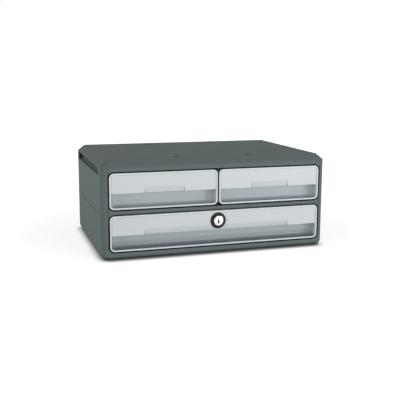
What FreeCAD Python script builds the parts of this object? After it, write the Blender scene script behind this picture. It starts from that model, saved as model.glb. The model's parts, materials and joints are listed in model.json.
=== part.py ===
"""Desktop file drawer: a grey casing with two half-width drawers over one full-width drawer that locks.

Each piece is a body of one document, and its sizes are formulas on the Dimensions sheet.
+X is to the right, +Y to the rear and +Z up; the origin is at the bottom centre of the whole object.
Casing pieces are drawn from the casing's datum: the front plane (y = 0) and the underside (z = 0).
Drawer pieces are drawn from the bottom edge of their own front, on the same front plane.
"""

import FreeCAD, Part
import math
import os

import Sketcher
from FreeCAD import Placement, Rotation, Vector

DIMENSIONS = (
    # name, millimetres (degrees for an angle), what it is
    ("case_width", 386.0, "casing, left to right"),
    ("case_depth", 270.0, "casing, front plane to rear wall"),
    ("corner_radius", 13.5, "upright edges of the casing"),
    ("bottom_radius", 8.0, "bottom edges of the casing"),
    ("case_wall", 2.5, "side walls, rear wall, floor and shelf"),
    ("floor_bevel", 4.5, "inside of the bottom edges"),
    ("seam_drop", 2.6, "joint of the two housings below the lower opening's top"),
    ("seam_groove", 0.8, "shadow groove along that joint"),
    ("tongue_wall", 1.2, "tongue of the lower housing, inside the wall of the upper one"),
    ("tongue_height", 4.0, "tongue above the joint"),
    ("tongue_gap", 0.1, "tongue and its snap beads to the upper housing"),
    ("bead_height", 0.5, "snap beads on the tongue"),
    ("bead_slope", 1.0, "snap beads on the tongue, crest to edge"),
    ("bead_length", 20.0, "snap beads on the tongue"),
    ("bead_setback", 40.0, "first and last snap bead from the casing's front and rear"),
    ("frame_depth", 14.0, "front frame, front to back"),
    ("frame_side", 10.8, "upright of the front frame, beside the openings"),
    ("frame_sill", 11.5, "bottom bar of the front frame"),
    ("frame_header", 17.2, "top bar of the front frame, up to the casing's top"),
    ("crossbar", 5.7, "bar between the lower and upper opening"),
    ("opening_height", 62.3, "opening for one row of drawers"),
    ("opening_radius", 9.5, "corners of the openings"),
    ("cover_height", 11.0, "top cover, bottom edge to top"),
    ("cover_wall", 2.5, "top cover's plate and skirt"),
    ("chamfer_width", 12.0, "slope round the top cover, seen from above"),
    ("chamfer_drop", 9.5, "slope round the top cover, seen from the side"),
    ("rib_wall", 1.6, "stiffening ribs"),
    ("rib_height", 4.0, "stiffening ribs under the top plate"),
    ("rib_pitch", 60.0, "stiffening ribs under the top plate, one to the next"),
    ("socket_radius", 4.0, "stacking sockets in the top"),
    ("socket_depth", 4.5, "stacking sockets in the top"),
    ("socket_wall", 2.0, "wall round a stacking socket"),
    ("socket_spacing_wide", 125.0, "stacking sockets and feet, left to right"),
    ("socket_inset", 30.0, "stacking sockets and feet from the front plane and the rear"),
    ("foot_height", 1.5, "foot below the underside"),
    ("foot_radius", 3.6, "foot below the underside"),
    ("foot_seat", 1.5, "foot's root in the underside"),
    ("grip_inset", 25.0, "hand grip from the front plane and the rear"),
    ("grip_height", 13.5, "hand grip"),
    ("grip_depth", 8.0, "hand grip"),
    ("grip_wall", 2.3, "wall behind the hand grip"),
    ("partition_wall", 1.8, "wall between the two upper drawers"),
    ("partition_setback", 3.0, "its front edge behind the front plane"),
    ("guide_wall", 2.0, "drawer guides"),
    ("guide_gap", 0.4, "drawer flange to the guide that carries it"),
    ("guide_headroom", 1.7, "drawer flange to the guide above it"),
    ("guide_clearance", 1.5, "guide to the drawer's side wall"),
    ("runner_wall", 2.0, "runner ribs under the drawers"),
    ("runner_gap", 0.3, "runner ribs to the drawer's floor"),
    ("runner_inset", 45.0, "outer runner ribs from the drawer's sides"),
    ("runner_spread", 120.0, "inner runner ribs from the lower drawer's sides"),
    ("runner_setback", 6.0, "runner ribs behind the drawer fronts"),
    ("front_gap_side", 2.0, "drawer front to the frame, left and right"),
    ("front_gap_edge", 2.3, "drawer front to the frame, top and bottom"),
    ("centre_gap", 2.8, "between the two upper drawer fronts"),
    ("front_depth", 20.5, "drawer front, front to back"),
    ("front_radius", 7.5, "corners of a drawer front"),
    ("front_wall", 2.0, "walls of a drawer front"),
    ("rim_width", 2.2, "raised rim round a drawer front"),
    ("rim_height", 0.8, "raised rim round a drawer front"),
    ("panel_wall", 3.0, "panel of a drawer front"),
    ("recess_height", 25.4, "ceiling of the finger recess, above the bottom edge"),
    ("recess_depth", 18.5, "finger recess, behind the front plane"),
    ("recess_turn", 14.0, "ends of the recess's rear wall, seen from above"),
    ("scallop_height", 9.4, "finger scallop over the recess"),
    ("scallop_depth", 1.6, "finger scallop at its lower edge"),
    ("scallop_radius", 4.5, "upper corners of the finger scallop"),
    ("scallop_width_upper", 67.0, "finger scallop of an upper drawer"),
    ("scallop_width_lower", 250.0, "finger scallop of the lower drawer"),
    ("tray_wall", 2.0, "walls and floor of a drawer tray"),
    ("tray_height", 51.5, "drawer tray, underside to the top of its flange"),
    ("tray_side_gap", 4.2, "tray wall inside the edge of its front"),
    ("tray_rear_gap", 2.5, "tray to the rear wall"),
    ("tray_radius", 6.0, "upright rear corners of a tray"),
    ("tray_edge", 3.5, "chamfer along the bottom edges of a tray"),
    ("flange_width", 4.0, "flange that hangs the tray on its guides"),
    ("flange_wall", 2.0, "flange that hangs the tray on its guides"),
    ("lug_length", 4.0, "stop lug on the flange"),
    ("lug_height", 1.2, "stop lug on the flange"),
    ("stop_setback", 35.5, "stop in the casing behind the front end of the guides"),
    ("stop_length", 6.0, "stop in the casing"),
    ("guide_play", 0.5, "front of the guides to the tray's front plate"),
    ("hook_width", 8.0, "snap hooks that hold a front to its tray"),
    ("hook_wall", 1.6, "snap hooks"),
    ("hook_catch", 1.0, "barb of a snap hook"),
    ("hook_nose", 2.5, "snap hook behind the tray's front plate"),
    ("hook_inset", 16.0, "outer snap hooks from the sides of a drawer front"),
    ("hook_level", 44.0, "snap hooks above the front's bottom edge"),
    ("hook_play", 0.2, "snap hook to the sides of its slot"),
    ("screw_head_ratio", 2.0, "screw head to shank, both as diameters"),
    ("screw_head_height", 1.8, "screw heads"),
    ("screw_clearance", 0.3, "screw to a hole that it passes through"),
    ("strike_screw_radius", 1.6, "screw of the strike plate"),
    ("lock_height", 40.8, "lock's axis above the bottom edge of the front"),
    ("lock_proud", 2.5, "lock's face ahead of the front plane"),
    ("bezel_radius", 13.25, "black ring round the lock"),
    ("bezel_bevel", 1.0, "front edge of the black ring"),
    ("bezel_bore", 9.5, "recess in the black ring, round the turning face"),
    ("bezel_height", 2.0, "black ring ahead of the panel"),
    ("face_radius", 9.0, "turning face of the lock"),
    ("face_height", 1.8, "turning face of the lock"),
    ("face_bevel", 0.6, "edge of the turning face"),
    ("turn_gap", 0.3, "between turning and fixed faces"),
    ("barrel_radius", 8.0, "fixed barrel of the lock"),
    ("barrel_length", 24.3, "fixed barrel, from inside the black ring to its rear end"),
    ("plug_radius", 6.6, "turning plug in the barrel"),
    ("plug_play", 0.05, "plug to barrel, radial"),
    ("lock_nut_flats", 21.0, "lock's nut across its flats"),
    ("lock_nut_height", 3.2, "lock's nut"),
    ("key_slot_height", 8.5, "keyhole"),
    ("key_slot_width", 2.3, "keyhole, lower part"),
    ("key_slot_neck", 1.3, "keyhole, upper part"),
    ("key_slot_depth", 8.0, "keyhole"),
    ("cam_square", 7.0, "square end that drives the cam"),
    ("cam_wall", 2.0, "cam plate"),
    ("cam_reach", 21.6, "cam's tip from the lock's axis"),
    ("cam_width", 12.0, "cam's arm"),
    ("cam_tip_radius", 3.6, "corners of the cam's tip"),
    ("cam_hub_radius", 8.0, "cam round the square"),
    ("cam_screw_radius", 2.0, "screw that holds the cam"),
    ("cam_screw_length", 5.0, "screw that holds the cam, under its head"),
    ("strike_wall", 1.5, "strike plate"),
    ("strike_width", 40.0, "strike plate, left to right"),
    ("strike_drop", 3.0, "strike's lower edge below the crossbar's middle"),
    ("strike_play", 1.5, "cam behind the strike"),
)

document = FreeCAD.newDocument("DesktopFileDrawer")
sheet = document.addObject("Spreadsheet::Sheet", "Dimensions")


class Size:
    """A length and the sheet formula that gives it; sums of them are worked out both ways at once."""

    def __init__(self, value, text):
        self.value = value
        self.text = text

    @staticmethod
    def of(other):
        return other if isinstance(other, Size) else Size(float(other), repr(float(other)))

    def _join(self, other, sign, value):
        return Size(value, f"({self.text} {sign} {other.text})")

    def __add__(self, other):
        other = Size.of(other)
        return self._join(other, "+", self.value + other.value)

    def __sub__(self, other):
        other = Size.of(other)
        return self._join(other, "-", self.value - other.value)

    def __mul__(self, other):
        other = Size.of(other)
        return self._join(other, "*", self.value * other.value)

    def __truediv__(self, other):
        other = Size.of(other)
        return self._join(other, "/", self.value / other.value)

    def __radd__(self, other):
        return Size.of(other) + self

    def __rsub__(self, other):
        return Size.of(other) - self

    def __rmul__(self, other):
        return Size.of(other) * self

    def __neg__(self):
        return Size(-self.value, f"(-{self.text})")


class Sizes:
    """The sheet's dimensions as attributes."""


def fill_sheet():
    """Write the dimensions to the sheet and return them by name."""
    sizes = Sizes()
    for row, (name, value, note) in enumerate(DIMENSIONS, start=1):
        sheet.set(f"A{row}", note)
        sheet.set(f"B{row}", str(value))
        sheet.setAlias(f"B{row}", name)
        setattr(sizes, name, Size(value, f"Dimensions.{name}"))
    document.recompute()
    return sizes


d = fill_sheet()
ZERO = Size.of(0)
# How far a cut runs past the face that it opens, and a piece into the one that it is fused with.
OVERRUN = 1
# Two distances closer than this count as the same.
TOLERANCE = 0.01

# Places that several pieces share, measured from the casing's datum.
front_plane = (d.lock_proud - d.case_depth) / 2
half_width = d.case_width / 2
inner_half_width = half_width - d.case_wall
inner_rear = d.case_depth - d.case_wall
opening_half_width = half_width - d.frame_side
tier_pitch = d.opening_height + d.crossbar
shelf_top = d.frame_sill + tier_pitch
shelf_bottom = shelf_top - d.case_wall
seam_height = d.frame_sill + d.opening_height - d.seam_drop
case_height = shelf_top + d.opening_height + d.frame_header
housing_top = case_height - d.cover_height
lower_front_width = 2 * (opening_half_width - d.front_gap_side)
upper_front_width = (lower_front_width - d.centre_gap) / 2
upper_front_offset = (upper_front_width + d.centre_gap) / 2
front_height = d.opening_height - 2 * d.front_gap_edge
lower_front_bottom = d.frame_sill + d.front_gap_edge
upper_front_bottom = lower_front_bottom + tier_pitch
tray_rear = inner_rear - d.tray_rear_gap
flange_rear = tray_rear - d.tray_radius
lug_front = flange_rear - d.lug_length
guide_front = d.front_depth + d.tray_wall + d.guide_play
runner_front = d.front_depth + d.runner_setback
grip_bottom = housing_top - d.grip_height
grip_length = d.case_depth - 2 * d.grip_inset
socket_spacing_deep = d.case_depth - 2 * d.socket_inset
lock_axis_height = lower_front_bottom + d.lock_height
panel_back = d.rim_height + d.panel_wall
barrel_front = d.face_height - d.lock_proud + d.turn_gap
barrel_end = barrel_front + d.barrel_length
cam_front = d.front_depth + d.tray_wall + d.turn_gap + d.strike_play
strike_back = cam_front - d.strike_play
strike_front = strike_back - d.strike_wall
strike_screw_y = (d.frame_depth + strike_front) / 2


# ---------------------------------------------------------------- sketches and features


def bind(item, **formulas):
    """Bind properties of a feature to sheet formulas; a double underscore stands for a dot."""
    for name, size in formulas.items():
        item.setExpression(name.replace("__", "."), Size.of(size).text)


class Circle:
    """A round loop of a sketch."""

    def __init__(self, x, y, radius):
        self.x, self.y, self.radius = Size.of(x), Size.of(y), Size.of(radius)

    def draw(self, sketch):
        centre = Vector(self.x.value, self.y.value, 0)
        circle = sketch.addGeometry(Part.Circle(centre, Vector(0, 0, 1), self.radius.value))
        place_point(sketch, circle, 3, self.x, self.y)
        radius = sketch.addConstraint(Sketcher.Constraint("Radius", circle, self.radius.value))
        sketch.setExpression(f"Constraints[{radius}]", self.radius.text)


class Polygon:
    """A loop through corners (x, y), with straight sides."""

    def __init__(self, *corners):
        self.corners = [(Size.of(x), Size.of(y)) for x, y in corners]

    def draw(self, sketch):
        points = [Vector(x.value, y.value, 0) for x, y in self.corners]
        sides = [
            sketch.addGeometry(Part.LineSegment(start, end))
            for start, end in zip(points, points[1:] + points[:1])
        ]
        for side, after, (x, y) in zip(sides, sides[1:] + sides[:1], self.corners):
            sketch.addConstraint(Sketcher.Constraint("Coincident", side, 2, after, 1))
            place_point(sketch, side, 1, x, y)


class Outline:
    """A loop of upright and level sides; a corner is (x, y), or (x, y, radius) where it is rounded."""

    def __init__(self, *corners):
        self.corners = [tuple(Size.of(number) for number in corner) for corner in corners]

    def draw(self, sketch):
        count = len(self.corners)
        points = [Vector(corner[0].value, corner[1].value, 0) for corner in self.corners]
        ways = [(points[(n + 1) % count] - points[n]).normalize() for n in range(count)]
        radii = [corner[2].value if len(corner) > 2 else 0.0 for corner in self.corners]
        sides = []
        for n in range(count):
            start = points[n] + ways[n] * radii[n]
            end = points[(n + 1) % count] - ways[n] * radii[(n + 1) % count]
            side = sketch.addGeometry(Part.LineSegment(start, end))
            upright = abs(ways[n].x) < abs(ways[n].y)
            sketch.addConstraint(Sketcher.Constraint("Vertical" if upright else "Horizontal", side))
            kind, axis = ("DistanceX", 0) if upright else ("DistanceY", 1)
            hold(sketch, kind, side, 1, self.corners[n][axis])
            sides.append(side)
        for n in range(count):
            before, after = sides[n - 1], sides[n]
            if len(self.corners[n]) == 2:
                sketch.addConstraint(Sketcher.Constraint("Coincident", before, 2, after, 1))
            else:
                round_corner(sketch, before, after, points[n], ways[n - 1], ways[n], self.corners[n][2])


def round_corner(sketch, before, after, point, way_in, way_out, radius):
    """Join two sides with an arc that is tangent to both."""
    centre = point + (way_out - way_in) * radius.value
    left_turn = way_in.x * way_out.y - way_in.y * way_out.x > 0
    start = point - way_in * radius.value
    end = point + way_out * radius.value
    first, last = (start, end) if left_turn else (end, start)
    angles = [math.atan2(spot.y - centre.y, spot.x - centre.x) for spot in (first, last)]
    if angles[1] < angles[0]:
        angles[1] += 2 * math.pi
    circle = Part.Circle(centre, Vector(0, 0, 1), radius.value)
    arc = sketch.addGeometry(Part.ArcOfCircle(circle, *angles))
    sketch.addConstraint(Sketcher.Constraint("Tangent", before, 2, arc, 1 if left_turn else 2))
    sketch.addConstraint(Sketcher.Constraint("Tangent", after, 1, arc, 2 if left_turn else 1))
    held = sketch.addConstraint(Sketcher.Constraint("Radius", arc, radius.value))
    sketch.setExpression(f"Constraints[{held}]", radius.text)


def hold(sketch, kind, geometry, point, size):
    """Hold a point's distance from the sketch's origin to a formula."""
    constraint = Sketcher.Constraint(kind, -1, 1, geometry, point, size.value)
    index = sketch.addConstraint(constraint)
    sketch.setExpression(f"Constraints[{index}]", size.text)


def place_point(sketch, geometry, point, x, y):
    hold(sketch, "DistanceX", geometry, point, x)
    hold(sketch, "DistanceY", geometry, point, y)


def rectangle(left, bottom, right, top, radius=None):
    """A rectangle, with all its corners rounded if a radius is given."""
    corners = [(left, bottom), (right, bottom), (right, top), (left, top)]
    if radius is not None:
        corners = [corner + (radius,) for corner in corners]
    return Outline(*corners)


def new_body(label, x=0, y=0, z=0):
    """A body drawn from a datum at x, y, z."""
    body = document.addObject("PartDesign::Body", label)
    body.Label = label
    bind(body, Placement__Base__x=x, Placement__Base__y=y, Placement__Base__z=z)
    return body


def case_body(label):
    return new_body(label, 0, front_plane, d.foot_height)


def new_sketch(body, name, plane, at, *loops):
    """A sketch parallel to an origin plane, at a distance along +X, +Y or +Z from it."""
    sketch = body.newObject("Sketcher::SketchObject", f"{name}_sketch")
    support = [item for item in body.Origin.OriginFeatures if item.Role == f"{plane}_Plane"][0]
    sketch.AttachmentSupport = [(support, "")]
    sketch.MapMode = "FlatFace"
    bind(sketch, AttachmentOffset__Base__z=-Size.of(at) if plane == "XZ" else at)
    for loop in loops:
        loop.draw(sketch)
    return sketch


def settle(body, feature, grows):
    """Recompute the document, and stop if the feature left the body as it was."""
    document.recompute()
    if not feature.isValid() or feature.Shape.isNull():
        raise RuntimeError(f"{body.Label}: {feature.Label} failed: {feature.State}")
    before = feature.BaseFeature.Shape.Volume if feature.BaseFeature else 0.0
    change = feature.Shape.Volume - before
    if change <= 0 if grows else change >= 0:
        raise RuntimeError(f"{body.Label}: {feature.Label} changed the volume by {change}")
    return feature


def extrude(kind, body, name, plane, at, length, loops):
    """Pad or pocket a sketch from `at` towards +X, +Y or +Z."""
    sketch = new_sketch(body, name, plane, at, *loops)
    feature = body.newObject(f"PartDesign::{kind}", name)
    feature.Profile = sketch
    # The XZ plane faces -Y, and a pocket runs against the way that its sketch faces.
    feature.Reversed = (kind == "Pad") == (plane == "XZ")
    bind(feature, Length=length)
    return settle(body, feature, kind == "Pad")


def add(body, name, plane, at, length, *loops):
    return extrude("Pad", body, name, plane, at, length, loops)


def cut(body, name, plane, at, length, *loops):
    return extrude("Pocket", body, name, plane, at, length, loops)


def turn(body, name, *corners):
    """Revolve a profile of (radius, y) corners round the body's Y axis."""
    sketch = new_sketch(body, name, "XY", 0, Polygon(*corners))
    feature = body.newObject("PartDesign::Revolution", name)
    feature.Profile = sketch
    feature.ReferenceAxis = (sketch, ["V_Axis"])
    return settle(body, feature, True)


def edges_of(feature, wanted):
    """Names of the feature's edges that pass a test on their box and middle."""
    return [
        f"Edge{number}"
        for number, edge in enumerate(feature.Shape.Edges, start=1)
        if wanted(edge.BoundBox, edge.valueAt((edge.FirstParameter + edge.LastParameter) / 2))
    ]


def round_edges(body, name, radius, wanted, grows=False):
    """Fillet the edges of the body that pass a test."""
    base = body.Tip
    fillet = body.newObject("PartDesign::Fillet", name)
    fillet.Base = (base, edges_of(base, wanted))
    bind(fillet, Radius=radius)
    return settle(body, fillet, grows)


def bevel_edges(body, name, first, second, wanted, grows=False):
    """Chamfer the edges of the body that pass a test, by a size along each of their two faces."""
    base = body.Tip
    chamfer = body.newObject("PartDesign::Chamfer", name)
    chamfer.Base = (base, edges_of(base, wanted))
    chamfer.ChamferType = "Two distances"
    bind(chamfer, Size=first, Size2=second)
    return settle(body, chamfer, grows)


def shell(body, name, wall, open_face):
    """Hollow the body out to an even wall, open at the faces that pass a test."""
    base = body.Tip
    faces = [f"Face{n}" for n, face in enumerate(base.Shape.Faces, start=1) if open_face(face.BoundBox)]
    hollow = body.newObject("PartDesign::Thickness", name)
    hollow.Base = (base, faces)
    hollow.Reversed = True
    hollow.Join = 1
    bind(hollow, Value=wall)
    return settle(body, hollow, False)


def near(a, b):
    return abs(a - Size.of(b).value) < TOLERANCE


def lies_at(box, height):
    """Whether an edge lies flat at a height."""
    return near(box.ZMin, height) and near(box.ZMax, height)


# ---------------------------------------------------------------- casing


def housing_outline(inset, front, radius):
    """Plan of a housing: straight at the front, rounded at the rear corners."""
    side = half_width - inset
    rear = d.case_depth - inset
    return Outline((-side, front), (side, front), (side, rear, radius), (-side, rear, radius))


def both_sides(loop_for):
    """Two loops, one on each side: loop_for gets -1 and 1."""
    return [loop_for(side) for side in (-1, 1)]


def side_strip(side, inner, outer, bottom, top):
    """A rectangle between two distances from the middle plane, on one side of it."""
    left, right = (inner, outer) if side > 0 else (-outer, -inner)
    return rectangle(left, bottom, right, top)


def guide_levels(front_bottom):
    """The top of the guide that carries a tray's flange, and the underside of the one above it."""
    flange_top = front_bottom + d.tray_height
    return flange_top - d.flange_wall - d.guide_gap, flange_top + d.guide_headroom


def add_guides(body, front_bottom):
    """Guides along both side walls, and the stops that a drawer's lugs meet when it is fully open."""
    carry_top, hold_bottom = guide_levels(front_bottom)
    reach = opening_half_width - d.front_gap_side - d.tray_side_gap + d.guide_clearance
    root = inner_half_width + OVERRUN
    guides = both_sides(lambda side: side_strip(side, reach, root, carry_top - d.guide_wall, carry_top))
    guides += both_sides(lambda side: side_strip(side, reach, root, hold_bottom, hold_bottom + d.guide_wall))
    add(body, "guides", "XZ", guide_front, d.case_depth - d.corner_radius - guide_front, *guides)
    stop_bottom = hold_bottom - d.guide_headroom + d.guide_gap
    stops = both_sides(lambda side: side_strip(side, reach, root, stop_bottom, hold_bottom + OVERRUN))
    add(body, "stops", "XZ", guide_front + d.stop_setback, d.stop_length, *stops)


def bead_spots():
    """Where the snap beads' middles lie along a side wall: at its front, middle and rear."""
    first = d.frame_depth + d.bead_setback
    last = d.case_depth - d.bead_setback
    return [first, (first + last) / 2, last]


def bead_loops(side, gap):
    """Section of a snap bead on the outside of the tongue, or of its seat with a gap round it."""
    root = side * (inner_half_width + d.tongue_wall / 2)
    face = side * (inner_half_width + d.tongue_wall)
    crest = side * (inner_half_width + d.tongue_wall + d.bead_height + gap)
    middle = seam_height + d.tongue_height / 2
    low = middle - d.bead_slope - gap
    high = middle + d.bead_slope + gap
    return Polygon((root, low), (face, low), (crest, middle), (face, high), (root, high))


def runner_loops(bottom, top, inner, outer):
    """Sections of the runner ribs under the drawers, mirrored about the middle plane."""
    return [
        side_strip(side, centre - d.runner_wall / 2, centre + d.runner_wall / 2, bottom, top)
        for centre in (inner, outer)
        for side in (-1, 1)
    ]


def lower_housing():
    """Tub that holds the lower drawer: floor, sides and rear wall in one moulding."""
    body = case_body("lower_housing")
    add(body, "block", "XY", 0, seam_height, housing_outline(0, d.frame_depth, d.corner_radius))
    front = d.frame_depth.value
    round_edges(
        body, "bottom_edges", d.bottom_radius,
        lambda box, middle: near(box.ZMax, 0) and not (near(box.YMax, front) and near(box.YMin, front)),
    )
    room = housing_outline(d.case_wall, d.frame_depth - OVERRUN, d.corner_radius - d.case_wall)
    cut(body, "room", "XY", d.case_wall, seam_height, room)
    bevel_edges(
        body, "floor_edges", d.floor_bevel, d.floor_bevel,
        lambda box, middle: lies_at(box, d.case_wall) and middle.y > front + OVERRUN,
        grows=True,
    )
    rib_top = lower_front_bottom - d.runner_gap
    inner = lower_front_width / 2 - d.runner_spread
    outer = lower_front_width / 2 - d.runner_inset
    runners = runner_loops(d.case_wall / 2, rib_top, inner, outer)
    add(body, "runners", "XZ", runner_front, inner_rear - runner_front, *runners)
    add_guides(body, lower_front_bottom)
    cut_shadow_groove(body)
    add_tongue(body)
    cut(body, "foot_seats", "XY", -OVERRUN, d.foot_seat + OVERRUN, *foot_spots(d.foot_radius))
    return body


def cut_shadow_groove(body):
    """A narrow step round the outside, which draws the joint of the housings as a dark line."""
    outside = housing_outline(-OVERRUN, d.frame_depth + OVERRUN, d.corner_radius + OVERRUN)
    inside = housing_outline(d.seam_groove, d.frame_depth, d.corner_radius - d.seam_groove)
    bottom = seam_height - d.seam_groove
    cut(body, "shadow_groove", "XY", bottom, d.seam_groove + OVERRUN, outside, inside)


def add_tongue(body):
    """Tongue that stands up inside the wall of the upper housing and snaps into it with small beads."""
    face = d.case_wall - d.tongue_wall
    inner_radius = d.corner_radius - d.case_wall
    outside = housing_outline(face, d.frame_depth, d.corner_radius - face)
    inside = housing_outline(d.case_wall, d.frame_depth - OVERRUN, inner_radius)
    root = d.seam_groove + OVERRUN
    add(body, "tongue_block", "XY", seam_height - root, d.tongue_height + root, outside)
    cut(body, "tongue_room", "XY", seam_height - root, d.tongue_height + root + OVERRUN, inside)
    beads = both_sides(lambda side: bead_loops(side, ZERO))
    for number, middle in enumerate(bead_spots(), start=1):
        add(body, f"snap_beads_{number}", "XZ", middle - d.bead_length / 2, d.bead_length, *beads)


def foot_spots(radius):
    """Loops at the four feet, which stand over the sockets of a casing below."""
    return [
        Circle(x * d.socket_spacing_wide / 2, d.case_depth / 2 + y * socket_spacing_deep / 2, radius)
        for x in (-1, 1)
        for y in (-1, 1)
    ]


def upper_housing():
    """Walls and shelf that hold the two upper drawers, with a hand grip let into each side."""
    body = case_body("upper_housing")
    height = housing_top - seam_height
    add(body, "block", "XY", seam_height, height, housing_outline(0, d.frame_depth, d.corner_radius))
    inner_radius = d.corner_radius - d.case_wall
    for name, bottom, top in (
        ("upper_room", shelf_top, housing_top + OVERRUN),
        ("room_below_shelf", seam_height - OVERRUN, shelf_bottom),
    ):
        room = housing_outline(d.case_wall, d.frame_depth - OVERRUN, inner_radius)
        cut(body, name, "XY", bottom, top - bottom, room)
    grip_inside = half_width - d.grip_depth - d.grip_wall
    root = inner_half_width + OVERRUN
    under = grip_bottom - d.grip_wall
    blocks = both_sides(lambda side: side_strip(side, grip_inside, root, under, housing_top))
    add(body, "grip_blocks", "XZ", d.grip_inset - d.grip_wall, grip_length + 2 * d.grip_wall, *blocks)
    add_guides(body, upper_front_bottom)
    cut(body, "grips", "XZ", d.grip_inset, grip_length, *both_sides(grip_section))
    rib_top = upper_front_bottom - d.runner_gap
    inner = upper_front_offset - upper_front_width / 2 + d.runner_inset
    outer = upper_front_offset + upper_front_width / 2 - d.runner_inset
    runners = runner_loops(shelf_top - d.case_wall / 2, rib_top, inner, outer)
    add(body, "runners", "XZ", runner_front, inner_rear - runner_front, *runners)
    cut_tongue_seat(body)
    pilot = Circle(0, strike_screw_y, d.strike_screw_radius)
    cut(body, "strike_screw_hole", "XY", shelf_bottom - OVERRUN, d.case_wall + 2 * OVERRUN, pilot)
    return body


def cut_tongue_seat(body):
    """Rebate and bead seats that take the tongue of the lower housing."""
    inset = d.case_wall - d.tongue_wall - d.tongue_gap
    seat = housing_outline(inset, d.frame_depth - OVERRUN, d.corner_radius - inset)
    cut(body, "tongue_seat", "XY", seam_height - OVERRUN, d.tongue_height + d.tongue_gap + OVERRUN, seat)
    seats = both_sides(lambda side: bead_loops(side, d.tongue_gap))
    for number, middle in enumerate(bead_spots(), start=1):
        start = middle - d.bead_length / 2 - d.tongue_gap
        cut(body, f"bead_seats_{number}", "XZ", start, d.bead_length + 2 * d.tongue_gap, *seats)


def grip_section(side):
    """Section of a hand grip: a floor that curves up into the wall behind the fingers."""
    back = half_width - d.grip_depth
    outside = half_width + OVERRUN
    top = housing_top + OVERRUN
    return Outline(
        (side * outside, grip_bottom),
        (side * back, grip_bottom, d.grip_depth),
        (side * back, top),
        (side * outside, top),
    )


def front_frame():
    """Bezel round the drawers, which wraps the front corners of the casing."""
    body = case_body("front_frame")
    plan = Outline(
        (-half_width, 0, d.corner_radius),
        (half_width, 0, d.corner_radius),
        (half_width, d.frame_depth),
        (-half_width, d.frame_depth),
    )
    add(body, "block", "XY", 0, housing_top, plan)
    rear = d.frame_depth.value
    round_edges(
        body, "bottom_edges", d.bottom_radius,
        lambda box, middle: near(box.ZMax, 0) and not (near(box.YMin, rear) and near(box.YMax, rear)),
    )
    openings = [
        rectangle(-opening_half_width, base, opening_half_width, base + d.opening_height, d.opening_radius)
        for base in (d.frame_sill, shelf_top)
    ]
    cut(body, "openings", "XZ", -OVERRUN, d.frame_depth + 2 * OVERRUN, *openings)
    return body


def top_cover():
    """Lid with a slope all round, ribs underneath and four stacking sockets."""
    body = case_body("top_cover")
    outside = rectangle(-half_width, 0, half_width, d.case_depth, d.corner_radius)
    add(body, "block", "XY", housing_top, d.cover_height, outside)
    bevel_edges(
        body, "slope", d.chamfer_drop, d.chamfer_width,
        lambda box, middle: near(box.ZMin, case_height),
    )
    shell(body, "shell", d.cover_wall, lambda box: near(box.ZMax, housing_top))
    plate_bottom = case_height - d.cover_wall
    add_cover_ribs(body, plate_bottom - d.rib_height, plate_bottom)
    socket_bottom = case_height - d.socket_depth
    half = d.socket_radius + d.socket_wall
    walls = [square_at(loop, half) for loop in foot_spots(half)]
    add(body, "socket_walls", "XY", socket_bottom - d.cover_wall, d.socket_depth + d.cover_wall / 2, *walls)
    cut(body, "sockets", "XY", socket_bottom, d.socket_depth + OVERRUN, *foot_spots(d.socket_radius))
    return body


def square_at(circle, half):
    """A square round the middle of a circle."""
    return rectangle(circle.x - half, circle.y - half, circle.x + half, circle.y + half)


def add_cover_ribs(body, rib_bottom, plate_bottom):
    """Ribs across the cover, walls that close the hand grips off and a rail for the partition."""
    margin = d.chamfer_width + d.cover_wall
    side = half_width - margin
    half = d.rib_wall / 2
    count = int(d.case_depth.value // d.rib_pitch.value)
    first = (d.case_depth - (count - 1) * d.rib_pitch) / 2
    middles = [first + n * d.rib_pitch for n in range(count)]
    ribs = [rectangle(-side, middle - half, side, middle + half) for middle in middles]
    root = plate_bottom + d.cover_wall / 2
    add(body, "cross_ribs", "XY", rib_bottom, root - rib_bottom, *ribs)
    inside = half_width - d.grip_depth - d.grip_wall
    front, rear = d.grip_inset - d.grip_wall, d.grip_inset + grip_length + d.grip_wall
    walls = both_sides(lambda way: side_strip(way, inside, inside + d.grip_wall, front, rear))
    slope_above = case_height - d.chamfer_drop + d.grip_depth * d.chamfer_drop / d.chamfer_width
    top = slope_above - OVERRUN
    add(body, "grip_walls", "XY", housing_top, top - housing_top, *walls)
    rail = d.partition_wall / 2 + d.runner_gap
    rails = both_sides(lambda way: side_strip(way, rail, rail + d.rib_wall, margin, d.case_depth - margin))
    add(body, "partition_rails", "XY", housing_top, root - housing_top, *rails)


def centre_partition():
    """Wall between the upper drawers, with a guide for each of them on either face."""
    body = case_body("centre_partition")
    half = d.partition_wall / 2
    opening_top = case_height - d.frame_header
    rib_bottom = case_height - d.cover_wall - d.rib_height
    slope = d.chamfer_width + d.cover_wall
    side_view = Outline(
        (d.partition_setback, shelf_top),
        (inner_rear, shelf_top),
        (inner_rear, housing_top),
        (d.case_depth - slope, housing_top),
        (d.case_depth - slope, rib_bottom - d.runner_gap),
        (slope, rib_bottom - d.runner_gap),
        (slope, opening_top),
        (d.partition_setback, opening_top),
    )
    add(body, "wall", "YZ", -half, d.partition_wall, side_view)
    carry_top, hold_bottom = guide_levels(upper_front_bottom)
    reach = d.centre_gap / 2 + d.tray_side_gap - d.guide_clearance
    guides = [
        rectangle(-reach, level, reach, level + d.guide_wall)
        for level in (carry_top - d.guide_wall, hold_bottom)
    ]
    add(body, "guides", "XZ", guide_front, inner_rear - guide_front, *guides)
    return body


def foot(label, x, y):
    """Soft foot pressed into the underside."""
    rear_shift = front_plane + d.case_depth / 2
    body = new_body(
        label, x * d.socket_spacing_wide / 2, rear_shift + y * socket_spacing_deep / 2, 0
    )
    add(body, "plug", "XY", 0, d.foot_height + d.foot_seat, Circle(0, 0, d.foot_radius))
    return body


# ---------------------------------------------------------------- drawers


def drawer_body(label, x, bottom):
    return new_body(label, x, front_plane, d.foot_height + bottom)


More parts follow.
